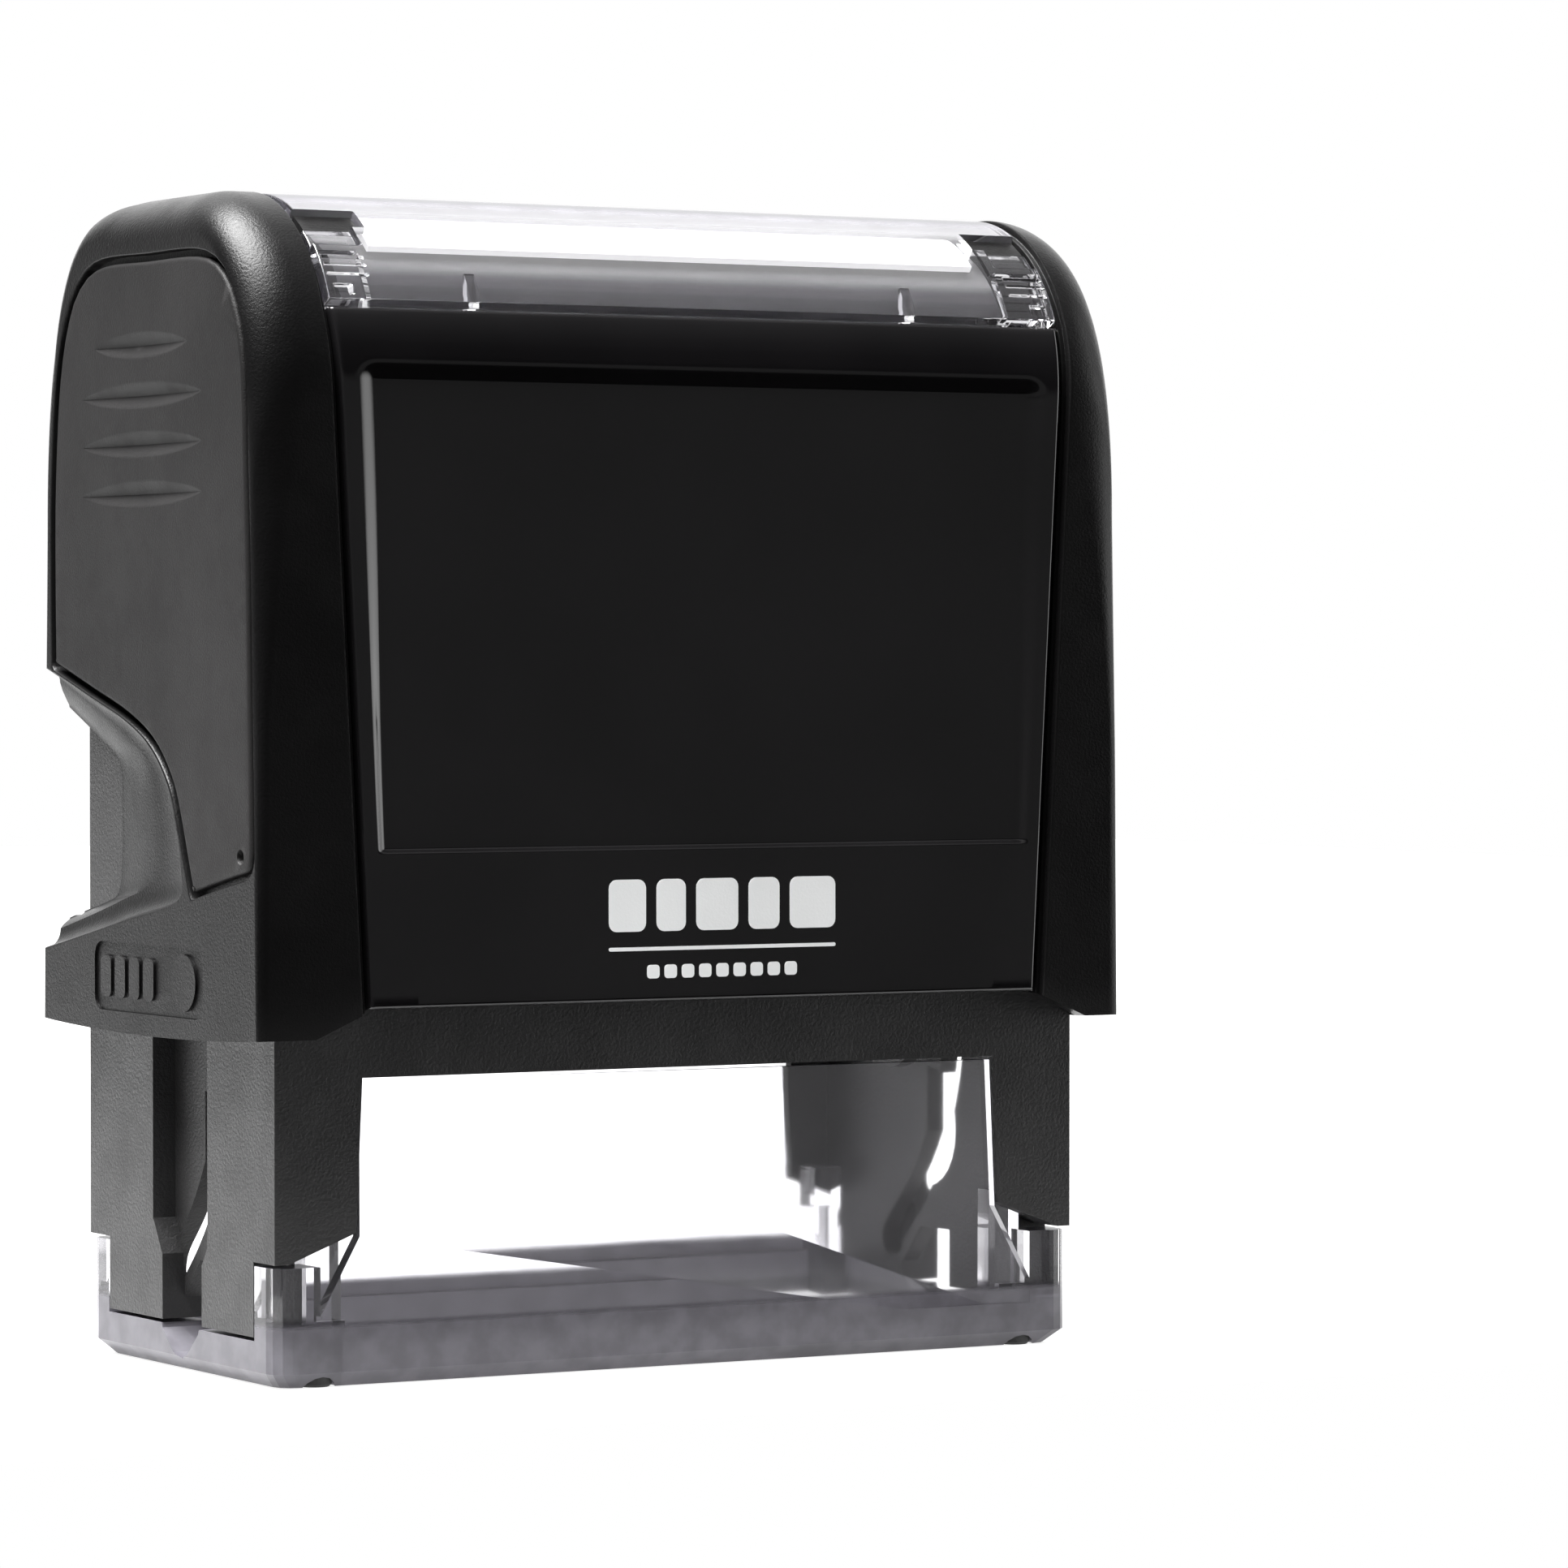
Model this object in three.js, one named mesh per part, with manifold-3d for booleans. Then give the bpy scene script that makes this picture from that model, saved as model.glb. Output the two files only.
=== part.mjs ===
// Self-inking stamp with a turn-over die, in millimetres.
// +X is to the right along the front, the front faces -Y, +Z is up.
// The origin is the centre of the footprint, on the surface the stamp stands on.
import * as THREE from 'three';
import { mergeVertices } from 'three/addons/utils/BufferGeometryUtils.js';
import Module from 'manifold-3d';

const wasm = await Module();
wasm.setup();

// ---------------------------------------------------------------- driving dimensions
const GAP = 0.3; // clearance between pieces that lie against each other
const ARCH_STEPS = 18; // facets in each quarter of the housing's rounded top
const FAR = 60; // reach of a cutting solid beyond the part

// inner frame and foot share one footprint
const FRAME_X = 37; // half width
const FRAME_Y = 17.6; // half depth
const FRAME_TOP = 60;
const FRAME_WALL = 1.6; // front and back walls
const FRAME_END = 3.6; // end walls, cam plate and channel together
const CAM_PLATE = 1.6; // what is left of the end wall behind the channel
const CHANNEL_Y = 5.2; // half width of the channel that guides the end cap's rib
const LEG_BOTTOM = 3.9;
const WALL_BOTTOM = 9.87; // lowest edge of the front and back walls, at the corners
const WINDOW_TOP = 24.4;
const WINDOW_SIDE = 12.15; // height where the window's side meets its sloping edge
const WINDOW_X_TOP = 29.3;
const WINDOW_X_SIDE = 29.85;
const WINDOW_X_CORNER = 35.8;
const POST_Y = 13.75; // inner side of the foot's corner posts
const BRIDGE_Z = 47;
const BRIDGE_THICK = 2.5;

// stroke, die and its turning gear
const STROKE = 21.3;
const AXLE_Z = 28.8; // axle height with the housing up
const AXLE_R = 1.8;
const CAM_R = 5; // cam pin's distance from the axle
const CAM_PIN_R = 1.1;
const RUNNING_GAP = 0.45;
const DIE_X = 29; // half width of the printing face
const DIE_Y = 11; // half depth of the printing face
const DIE_FACE = 7.5; // printing face above the axle, at rest

// ink cartridge
const INK_Z = 36.6; // underside of the tray
const INK_TOP = 43.8;
const INK_X = 30.8;
const GRIP_X = 36; // half width over the tray's ribbed grips
const GRIP_BACK = 19.3; // back of the ribbed grips

// housing
const CAP_X = 39.9; // half width over the end caps
const CAP_Y = 20.7; // half depth at the lower edge
const CAP_BOTTOM = 27.7;
const CAP_INNER_X = 37.4; // inner face of the end caps' side walls
const CAP_FILLET = 4.4; // depth along X of the caps' outer rounding
const TOP_Z = 94.9;
const PANEL_TOP = 85.3;
const PANEL_BOTTOM = 29.9;
const PANEL_X_TOP = 33.2; // half width between the end caps, at the panel's top
const PANEL_X_BOTTOM = 30.3;
const COLUMN_X = 35.1; // where the columns' lower edge starts to rise
const SHELL = 1.7;
const YOKE_Z = 84;
const YOKE_THICK = 2.4;
const ARM_X = [31.1, 32.7]; // the yoke's arms hang just inside the frame's end walls
const ARM_Y = 3.3;
const WINDOW_THICK = 1.3;
const WINDOW_Z = 85.8; // lower edges of the top window
const SLOT_Z = [36.2, 44.5]; // opening across the housing's back for the ink cartridge

// ---------------------------------------------------------------- solids
function solid(geometry) {
  const bare = geometry.clone();
  bare.deleteAttribute('normal');
  bare.deleteAttribute('uv');
  const merged = mergeVertices(bare, 1e-5);
  return new wasm.Manifold(new wasm.Mesh({
    numProp: 3,
    vertProperties: new Float32Array(merged.attributes.position.array),
    triVerts: new Uint32Array(merged.index.array),
  }));
}

function box(x0, x1, y0, y1, z0, z1) {
  const geometry = new THREE.BoxGeometry(x1 - x0, y1 - y0, z1 - z0);
  geometry.translate((x0 + x1) / 2, (y0 + y1) / 2, (z0 + z1) / 2);
  return solid(geometry);
}

// an outline drawn in (Y, Z), extruded along X
function prismX(outline, x0, x1) {
  const shape = new THREE.Shape(outline.map(([y, z]) => new THREE.Vector2(y, z)));
  const geometry = new THREE.ExtrudeGeometry(shape, { depth: x1 - x0, bevelEnabled: false });
  geometry.rotateX(Math.PI / 2);
  geometry.rotateZ(Math.PI / 2);
  geometry.translate(x0, 0, 0);
  return solid(geometry);
}

// an outline drawn in (X, Z), extruded along Y
function prismY(outline, y0, y1) {
  const shape = new THREE.Shape(outline.map(([x, z]) => new THREE.Vector2(x, z)));
  const geometry = new THREE.ExtrudeGeometry(shape, { depth: y1 - y0, bevelEnabled: false });
  geometry.rotateX(Math.PI / 2);
  geometry.translate(0, y1, 0);
  return solid(geometry);
}

function rodX(radius, x0, x1, y, z, sides = 36) {
  const geometry = new THREE.CylinderGeometry(radius, radius, x1 - x0, sides);
  geometry.rotateZ(Math.PI / 2);
  geometry.translate((x0 + x1) / 2, y, z);
  return solid(geometry);
}

function rodZ(radius, z0, z1, x, y, sides = 20) {
  const geometry = new THREE.CylinderGeometry(radius, radius, z1 - z0, sides);
  geometry.rotateX(Math.PI / 2);
  geometry.translate(x, y, (z0 + z1) / 2);
  return solid(geometry);
}

// a closed skin through rings of equally many 3-D points, with flat ends
function loft(rings) {
  const count = rings[0].length;
  const positions = rings.flat(2);
  const index = [];
  for (let ring = 0; ring < rings.length - 1; ring += 1) {
    for (let i = 0; i < count; i += 1) {
      const a = ring * count + i;
      const b = ring * count + ((i + 1) % count);
      index.push(a, b, b + count, a, b + count, a + count);
    }
  }
  const last = (rings.length - 1) * count;
  for (let i = 1; i < count - 1; i += 1) {
    index.push(0, i + 1, i);
    index.push(last, last + i, last + i + 1);
  }
  const geometry = new THREE.BufferGeometry();
  geometry.setAttribute('position', new THREE.Float32BufferAttribute(positions, 3));
  geometry.setIndex(index);
  const made = solid(geometry);
  if (made.volume() > 0) return made;
  geometry.setIndex(index.slice().reverse());
  return solid(geometry);
}

const union = (parts) => parts.reduce((sum, part) => sum.add(part));
const cut = (body, tools) => tools.reduce((rest, tool) => rest.subtract(tool), body);
const mirrorX = (outline) => outline.map(([x, z]) => [-x, z]).reverse();
const bothEnds = (make) => [make(-1), make(1)];

// a box given for the right end, or its mirror image for side = -1
function endBox(side, x0, x1, y0, y1, z0, z1) {
  return side > 0 ? box(x0, x1, y0, y1, z0, z1) : box(-x1, -x0, y0, y1, z0, z1);
}

function endPrism(side, outline, x0, x1) {
  return side > 0 ? prismX(outline, x0, x1) : prismX(outline, -x1, -x0);
}

function endRod(side, radius, x0, x1, y, z) {
  return side > 0 ? rodX(radius, x0, x1, y, z) : rodX(radius, -x1, -x0, y, z);
}

// ---------------------------------------------------------------- housing outlines
// half of a superellipse arch in (Y, Z): upright below its centre, flat on top
function arch(centreY, centreZ, reachY, reachZ, power, steps) {
  const points = [];
  for (let i = 0; i <= steps; i += 1) {
    const angle = (i / steps) * (Math.PI / 2);
    const y = centreY + reachY * Math.cos(angle) ** (2 / power);
    const z = centreZ + reachZ * Math.sin(angle) ** (2 / power);
    points.push([y, z]);
  }
  return points;
}

// closed outline of the housing, drawn in by inset, from its lower edge at bottom
function housingOutline(inset, bottom) {
  const half = arch(6, 78.9, 14.7 - inset, 16 - inset, 2, ARCH_STEPS);
  const right = [[CAP_Y - inset, bottom], ...half];
  const left = right.map(([y, z]) => [-y, z]).reverse();
  return [...right, ...left];
}

// the flat side face of an end cap, with as many points as housingOutline
function sideOutline(bottom) {
  const half = arch(7, 66, 12.5, 25.2, 2.5, ARCH_STEPS);
  const right = [[CAP_Y - 0.1, bottom], ...half];
  const left = right.map(([y, z]) => [-y, z]).reverse();
  return [...right, ...left];
}

function capSkin(side) {
  const rim = housingOutline(0, CAP_BOTTOM);
  const face = sideOutline(CAP_BOTTOM);
  const steps = 6;
  const rings = [rim.map(([y, z]) => [side * 29.5, y, z])];
  for (let i = 0; i <= steps; i += 1) {
    const angle = (i / steps) * (Math.PI / 2);
    const x = CAP_X - CAP_FILLET * (1 - Math.sin(angle));
    const share = Math.cos(angle);
    rings.push(rim.map(([y, z], k) => [
      side * x,
      face[k][0] + (y - face[k][0]) * share,
      face[k][1] + (z - face[k][1]) * share,
    ]));
  }
  return loft(rings);
}

// space between the end caps, drawn in (X, Z): wider at the top, as the front panel is
function midSpace(extra) {
  const right = [
    [PANEL_X_BOTTOM + extra - 0.6, CAP_BOTTOM - 10],
    [PANEL_X_BOTTOM + extra, PANEL_BOTTOM],
    [PANEL_X_TOP + extra, PANEL_TOP],
    [PANEL_X_TOP + extra, TOP_Z + 5],
  ];
  return [...right, ...mirrorX(right)];
}

// outline of the soft side grip in (Y, Z), grown by the width of the groove around it
function gripOutline(grow) {
  const shape = new THREE.Shape();
  shape.moveTo(-16.6 - grow, 41.6 - grow);
  shape.quadraticCurveTo(-18.6 - grow, 41.8 - grow, -18.6 - grow, 43.8);
  shape.lineTo(-18.1 - grow, 66);
  shape.bezierCurveTo(-17.9 - grow, 78, -16.6 - grow, 89.2 + grow, -9, 89.6 + grow);
  shape.lineTo(9, 89.6 + grow);
  shape.bezierCurveTo(16.6 + grow, 89.2 + grow, 17.9 + grow, 78, 18.1 + grow, 66);
  shape.lineTo(18.1 + grow, 57.6 - grow);
  shape.lineTo(10.8, 55.4 - grow);
  shape.lineTo(3.4, 53.2 - grow);
  shape.bezierCurveTo(-4.6, 50.8 - grow, -5.2 + grow, 46, -8.2 + grow, 40.2 - grow);
  shape.lineTo(-16.6 - grow, 41.6 - grow);
  return shape.getPoints(8).map((point) => [point.x, point.y]);
}

// The finger scoop in an end cap's side wall is a dish that opens to the back. These are its
// outlines in (Y, Z): on the side face, on the dish's floor and where it breaks through.
const SCOOP_OUTER = [
  [24, 57.7], [18.8, 56.3], [11.3, 54.2], [4.1, 52.2], [-0.6, 50.1], [-3.7, 47.3],
  [-5.2, 44.3], [-6.2, 40.9], [-5.4, 38.3], [4.9, 36.4], [12, 35.1], [24, 33],
];
const SCOOP_FLOOR = [
  [24, 56.6], [19.5, 55.2], [13.5, 53.2], [8, 51.2], [4.2, 49.4], [2.4, 47.2],
  [1.9, 44.6], [1.9, 41.4], [3.2, 39.2], [8, 37.9], [14, 36.5], [24, 34.4],
];
const SCOOP_INNER = [
  [24, 54.9], [20, 53.3], [16.5, 51.9], [13.4, 50.6], [11.4, 49.8], [10.3, 48.6],
  [10.1, 46], [10.1, 41], [10.9, 38.3], [13.5, 37.4], [17, 36.7], [24, 35.2],
];
const SCOOP_FLOOR_X = 38.3;

function smoothOutline(points, steps) {
  const curve = new THREE.SplineCurve(points.map(([y, z]) => new THREE.Vector2(y, z)));
  return curve.getPoints(steps).map((point) => [point.x, point.y]);
}

function scoop(side) {
  const rings = [
    [CAP_X + 1, SCOOP_OUTER],
    [CAP_X, SCOOP_OUTER],
    [SCOOP_FLOOR_X, SCOOP_FLOOR],
    [CAP_INNER_X, SCOOP_INNER],
    [COLUMN_X, SCOOP_INNER],
  ];
  return loft(rings.map(([x, outline]) => (
    smoothOutline(outline, 33).map(([y, z]) => [side * x, y, z])
  )));
}

// ---------------------------------------------------------------- cam tracks
// The cam pin's way past the frame while the housing goes down and the die turns over:
// it starts in front of the axle, passes below it and ends behind it.
function pinPath() {
  const points = [];
  const steps = 16;
  for (let i = 0; i <= steps; i += 1) {
    const share = i / steps;
    const angle = Math.PI * share;
    points.push([
      -CAM_R * Math.cos(angle),
      AXLE_Z - STROKE * share - CAM_R * Math.sin(angle),
    ]);
  }
  return points;
}

// the closed outline of a round pin's sweep along a path
function sweepOutline(path, radius) {
  const left = [];
  const right = [];
  path.forEach(([y, z], i) => {
    const before = path[Math.max(i - 1, 0)];
    const after = path[Math.min(i + 1, path.length - 1)];
    const length = Math.hypot(after[0] - before[0], after[1] - before[1]);
    const ny = -(after[1] - before[1]) / length;
    const nz = (after[0] - before[0]) / length;
    left.push([y + ny * radius, z + nz * radius]);
    right.push([y - ny * radius, z - nz * radius]);
  });
  return [...left, ...right.reverse()];
}

function camOpening(side) {
  const inner = FRAME_X - FRAME_END - 1;
  const outer = FRAME_X - FRAME_END + CAM_PLATE + 0.1;
  const radius = CAM_PIN_R + RUNNING_GAP;
  const path = pinPath();
  const ends = [path[0], path[path.length - 1]];
  const relief = new THREE.Shape();
  relief.moveTo(-0.6, 22.6);
  relief.bezierCurveTo(-4, 22.4, -5, 19.6, -5, 17.2);
  relief.bezierCurveTo(-5, 14.6, -3.4, 12.6, -0.6, 12.2);
  const reliefOutline = relief.getPoints(6).map((point) => [point.x, point.y]);
  return [
    endPrism(side, sweepOutline(path, radius), inner, outer),
    ...ends.map(([y, z]) => endRod(side, radius, inner, outer, y, z)),
    endPrism(side, reliefOutline, inner, outer),
  ];
}

// ---------------------------------------------------------------- base
function windowOutline(inset) {
  const right = [
    [WINDOW_X_CORNER + 2, -5],
    [WINDOW_X_CORNER + 2, WALL_BOTTOM - inset],
    [WINDOW_X_CORNER, WALL_BOTTOM - inset],
    [WINDOW_X_SIDE - inset, WINDOW_SIDE - inset],
    [WINDOW_X_TOP - inset, WINDOW_TOP - inset],
  ];
  return [...right, ...mirrorX(right)];
}

function innerFrame() {
  const inX = FRAME_X - FRAME_END;
  const inY = FRAME_Y - FRAME_WALL;
  const bayTop = INK_TOP + 0.4;
  const ledgeX = INK_X - 0.8;
  const bridgeTop = BRIDGE_Z + BRIDGE_THICK;
  let frame = box(-FRAME_X, FRAME_X, -FRAME_Y, FRAME_Y, LEG_BOTTOM, FRAME_TOP);
  frame = frame.subtract(box(-inX, inX, -inY, inY, 0, FRAME_TOP + 1));
  const additions = [box(-inX - 0.2, inX + 0.2, -inY - 0.2, inY + 0.2, BRIDGE_Z, bridgeTop)];
  for (const side of [-1, 1]) {
    for (const [y0, y1] of [[-inY - 0.2, -4.5], [4.5, inY + 0.2]]) {
      additions.push(endBox(side, ledgeX, inX + 0.2, y0, y1, 34.3, INK_Z - GAP));
      additions.push(endBox(side, ledgeX, inX + 0.2, y0, y1, bayTop, bayTop + 1.4));
    }
    additions.push(rodZ(2.4, bridgeTop - 0.2, 57, side * SPRING_X, 0));
  }
  frame = union([frame, ...additions]);
  const channel = [
    [-CHANNEL_Y, FRAME_TOP + 1], [-CHANNEL_Y, 10.4], [-4.1, 8.8], [-4.1, LEG_BOTTOM - 1],
    [3.4, LEG_BOTTOM - 1], [3.4, 9.2], [CHANNEL_Y, 12], [CHANNEL_Y, FRAME_TOP + 1],
  ];
  const bottomSlot = [
    [-4.1, LEG_BOTTOM - 1], [3.4, LEG_BOTTOM - 1], [3.4, 5.6], [0.4, 8.8], [-4.1, 8.8],
  ];
  const channelX = inX + CAM_PLATE;
  const tools = [
    prismY(windowOutline(0), -FRAME_Y - 1, -POST_Y),
    prismY(windowOutline(0), POST_Y, FRAME_Y + 1),
    box(-INK_X - GAP, INK_X + GAP, inY - 0.5, FRAME_Y + 1, INK_Z - GAP, bayTop),
  ];
  for (const side of [-1, 1]) {
    tools.push(endPrism(side, channel, channelX, FRAME_X + 1));
    tools.push(endPrism(side, bottomSlot, inX - 1, FRAME_X + 1));
    const armHole = [ARM_X[0] - GAP, inX, -ARM_Y - GAP, ARM_Y + GAP];
    tools.push(endBox(side, ...armHole, BRIDGE_Z - 1, bridgeTop + 1));
    tools.push(...camOpening(side));
  }
  return cut(frame, tools);
}

function roundedRectangle(halfX, halfY, radius, z) {
  const points = [];
  const corners = [[1, 1, 0], [-1, 1, 90], [-1, -1, 180], [1, -1, 270]];
  for (const [sx, sy, start] of corners) {
    for (let i = 0; i <= 3; i += 1) {
      const angle = THREE.MathUtils.degToRad(start + i * 30);
      points.push([
        sx * (halfX - radius) + radius * Math.cos(angle),
        sy * (halfY - radius) + radius * Math.sin(angle),
        z,
      ]);
    }
  }
  return points;
}

const RIM_Z = 3.6; // height of the foot's rim
const SPRING_X = 19;
const FOOT_X = 32.6; // rubber foot's centre
const FOOT_Y = 15.6;
const FOOT_R = 1.4;

function clearFoot() {
  const chamfer = 1.2;
  const radius = 1.6;
  const rim = loft([
    roundedRectangle(FRAME_X - chamfer, FRAME_Y - chamfer, radius, 0),
    roundedRectangle(FRAME_X, FRAME_Y, radius, chamfer),
    roundedRectangle(FRAME_X, FRAME_Y, radius, RIM_Z),
  ]);
  const post = roundedRectangle(FRAME_X, FRAME_Y, radius, chamfer);
  const posts = loft([post, post.map(([x, y]) => [x, y, WALL_BOTTOM - GAP])]);
  const parts = [rim];
  const pane = windowOutline(GAP).filter(([, z]) => z > 0);
  const paneOutline = [[WINDOW_X_CORNER - 0.3, chamfer], ...pane.slice(2, 5)];
  const fullPane = [...paneOutline, ...mirrorX(paneOutline)];
  for (const facing of [-1, 1]) {
    const [y0, y1] = facing < 0 ? [-FRAME_Y, -FRAME_Y + 1.2] : [FRAME_Y - 1.2, FRAME_Y];
    parts.push(prismY(fullPane, y0, y1));
    for (const side of [-1, 1]) {
      const [yIn, yOut] = facing < 0 ? [-FRAME_Y - 1, -POST_Y - 0.15] : [POST_Y + 0.15, FRAME_Y + 1];
      parts.push(posts.intersect(endBox(side, 33, FRAME_X + 1, yIn, yOut, 0, 20)));
      const [cleatIn, cleatOut] = facing < 0 ? [-15.7, -13.1] : [13.1, 15.7];
      parts.push(endBox(side, 30.5, 33.1, cleatIn, cleatOut, 1, 13));
      const [blockIn, blockOut] = facing < 0 ? [-17, -13.1] : [13.1, 17];
      parts.push(endBox(side, 30.5, 33.1, blockIn, blockOut, 1, 5.2));
    }
  }
  const notch = [
    [-4, RIM_Z + 1], [-3.4, RIM_Z - 0.4], [-1.3, 1.4], [0, 0.95], [1.3, 1.4],
    [3.4, RIM_Z - 0.4], [4, RIM_Z + 1],
  ];
  const tools = [
    box(-32.9, 32.9, -13.1, 13.1, -1, FAR),
    box(-30.5, 30.5, -15.8, 15.8, -1, FAR),
    box(-34.5, -32, -9.5, -7.5, 1.2, 2.6),
    box(32, 34.5, -9.5, -7.5, 1.2, 2.6),
    ...bothEnds((side) => endPrism(side, notch, 32, FRAME_X + 1)),
  ];
  for (const side of [-1, 1]) {
    for (const facing of [-1, 1]) {
      tools.push(rodZ(FOOT_R + 0.25, -1, 4.4, side * FOOT_X, facing * FOOT_Y, 16));
    }
  }
  return cut(union(parts), tools);
}

function rubberFoot(side, facing) {
  const profile = [[0, 0], [FOOT_R, 0], [FOOT_R, 2.7], [FOOT_R * 0.8, 3.5], [FOOT_R * 0.4, 3.95], [0, 4.05]];
  const points = profile.map(([r, z]) => new THREE.Vector2(r, z));
  const geometry = new THREE.LatheGeometry(points, 16);
  geometry.rotateX(Math.PI / 2);
  geometry.translate(side * FOOT_X, facing * FOOT_Y, 0);
  return solid(geometry);
}

// ---------------------------------------------------------------- ink cartridge
function inkTray() {
  const back = FRAME_Y + GAP;
  const parts = [
    box(-INK_X, INK_X, -15.6, back + 0.2, INK_Z, INK_TOP),
    box(-GRIP_X, GRIP_X, back, GRIP_BACK, INK_Z, INK_TOP),
  ];
  const tools = [
    box(-30, 30, -12.5, 12.5, INK_Z - 1, 41),
    box(-31, 31, -14, 16, 42, INK_TOP + 1),
  ];
  for (const side of [-1, 1]) {
    for (let rib = 0; rib < 5; rib += 1) {
      const x = 31.2 + rib;
      tools.push(endBox(side, x, x + 0.45, 18.9, 20, INK_Z - 1, INK_TOP + 1));
    }
  }
  return cut(union(parts), tools);
}

function inkPad() {
  return box(-29.7, 29.7, -12.2, 12.2, AXLE_Z + DIE_FACE + 1.1, 40.7);
}

// ---------------------------------------------------------------- die carrier
function dieCarrier() {
  const lugIn = DIE_X + 0.5;
  const lugOut = ARM_X[0] - GAP;
  const floor = AXLE_Z + 2;
  const top = AXLE_Z + 4.6;
  const camTip = FRAME_X - FRAME_END + CAM_PLATE - 0.1;
  const plateX = lugIn + 0.2;
  const parts = [
    box(-plateX, plateX, -10.5, 10.5, floor, top),
    box(-plateX, plateX, -4.2, 4.2, AXLE_Z - 2.8, floor + 0.2),
  ];
  for (const side of [-1, 1]) {
    parts.push(endRod(side, 6.3, lugIn, lugOut, 0, AXLE_Z));
    parts.push(endRod(side, AXLE_R, lugOut - 0.2, ARM_X[1] + 0.2, 0, AXLE_Z));
    parts.push(endRod(side, CAM_PIN_R, lugOut - 0.2, camTip, -CAM_R, AXLE_Z));
  }
  const pocket = box(-28, 28, -3, 3, AXLE_Z - 4, AXLE_Z + 1);
  return cut(union(parts), [pocket]);
}

function dieCushion() {
  return box(-DIE_X, DIE_X, -DIE_Y, DIE_Y, AXLE_Z + 4.9, AXLE_Z + 5.9);
}

function textPlate() {
  return box(-DIE_X, DIE_X, -DIE_Y, DIE_Y, AXLE_Z + 6.2, AXLE_Z + DIE_FACE);
}

// ---------------------------------------------------------------- housing
const GRIP_DEPTH = 1; // how far a side grip is let into its end cap

function endCap(side) {
  const cavity = housingOutline(SHELL, CAP_BOTTOM - 10);
  const lowerEdge = [
    [CAP_X + 2, CAP_BOTTOM - 0.1], [COLUMN_X, CAP_BOTTOM - 0.1],
    [PANEL_X_BOTTOM, PANEL_BOTTOM - 0.2], [PANEL_X_BOTTOM - 3, PANEL_BOTTOM - 0.2],
    [PANEL_X_BOTTOM - 3, CAP_BOTTOM - 3], [CAP_X + 2, CAP_BOTTOM - 3],
  ];
  const slotX = COLUMN_X + 3;
  const hollow = endPrism(side, cavity, 20, CAP_INNER_X);
  // room behind for the cartridge's grips, which pass here as the housing goes down
  const gripTop = INK_TOP + STROKE + 1;
  const gripRoom = endBox(side, 20, CAP_INNER_X, 0, GRIP_BACK + GAP, CAP_BOTTOM - 3, gripTop);
  const ribX = FRAME_X - FRAME_END + CAM_PLATE + GAP;
  const ribY = CHANNEL_Y - GAP;
  const rib = endBox(side, ribX, CAP_INNER_X + 0.5, -ribY, ribY, 57, 72);
  const shell = cut(capSkin(side), [hollow, gripRoom]);
  return cut(shell.add(rib), [
    prismY(midSpace(0), -FAR, FAR),
    prismY(side > 0 ? lowerEdge : mirrorX(lowerEdge), -FAR, FAR),
    endPrism(side, gripOutline(GAP + 0.3), CAP_X - GRIP_DEPTH, CAP_X + 1),
    scoop(side),
    endBox(side, 20, slotX, CAP_Y - 3, CAP_Y + 1, SLOT_Z[0], SLOT_Z[1]),
  ]);
}

function sideGrip(side) {
  const slab = endPrism(side, gripOutline(0), CAP_X - GRIP_DEPTH + GAP, CAP_X - 0.05);
  const opening = smoothOutline(SCOOP_OUTER, 33);
  return slab.subtract(endPrism(side, opening, CAP_X - 3, CAP_X + 1));
}

// the wall between two insets of the housing outline, between two heights, on one side
function curvedWall(outer, inner, halfX, z0, z1) {
  const shell = prismX(housingOutline(outer, 0), -halfX, halfX);
  const hollow = prismX(housingOutline(inner, -1), -halfX - 1, halfX + 1);
  return shell.subtract(hollow).intersect(box(-FAR, FAR, -FAR, FAR, z0, z1));
}

function frontPanel() {
  const wall = curvedWall(0.2, 1.8, 36, PANEL_BOTTOM, PANEL_TOP);
  const front = wall.intersect(prismY(midSpace(-GAP), -FAR, -5));
  const field = [
    [-29.6, 42.3], [29.6, 42.3], [31.2, 81], [-31.2, 81],
  ];
  return front.subtract(prismY(field, -CAP_Y - 2, -CAP_Y + 0.7));
}

function backPanel() {
  const wall = curvedWall(0.2, 1.1, 36, SLOT_Z[1], PANEL_TOP);
  return wall.intersect(prismY(midSpace(-GAP), 5, FAR));
}

function rearRail() {
  const wall = curvedWall(0.2, 1.1, 36, PANEL_BOTTOM - 1.4, SLOT_Z[0]);
  return wall.intersect(prismY(midSpace(-GAP), 5, FAR));
}

function yoke() {
  const plateTop = YOKE_Z + YOKE_THICK;
  const parts = [box(-ARM_X[1], ARM_X[1], -7, 7, YOKE_Z, plateTop)];
  for (const side of [-1, 1]) {
    parts.push(endBox(side, ...ARM_X, -ARM_Y, ARM_Y, AXLE_Z, YOKE_Z + 1));
    parts.push(endRod(side, ARM_Y, ...ARM_X, 0, AXLE_Z));
    parts.push(endBox(side, 13, 14.5, -7, 7, plateTop - 0.2, 90.2));
  }
  const bore = AXLE_R + GAP;
  const bores = bothEnds((side) => endRod(side, bore, ARM_X[0] - 1, ARM_X[1] + 1, 0, AXLE_Z));
  return cut(union(parts), bores);
}

function cardTray() {
  return curvedWall(2.7, 4.2, INK_X, 83, FAR * 2);
}

function indexCard() {
  const sheet = curvedWall(1.7, 2.3, 31.5, 80, FAR * 2);
  return sheet.intersect(box(-FAR, FAR, -12, 12, 85, 100));
}

function topWindow() {
  return curvedWall(0.1, 0.1 + WINDOW_THICK, PANEL_X_TOP - GAP, WINDOW_Z, FAR * 2);
}

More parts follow.
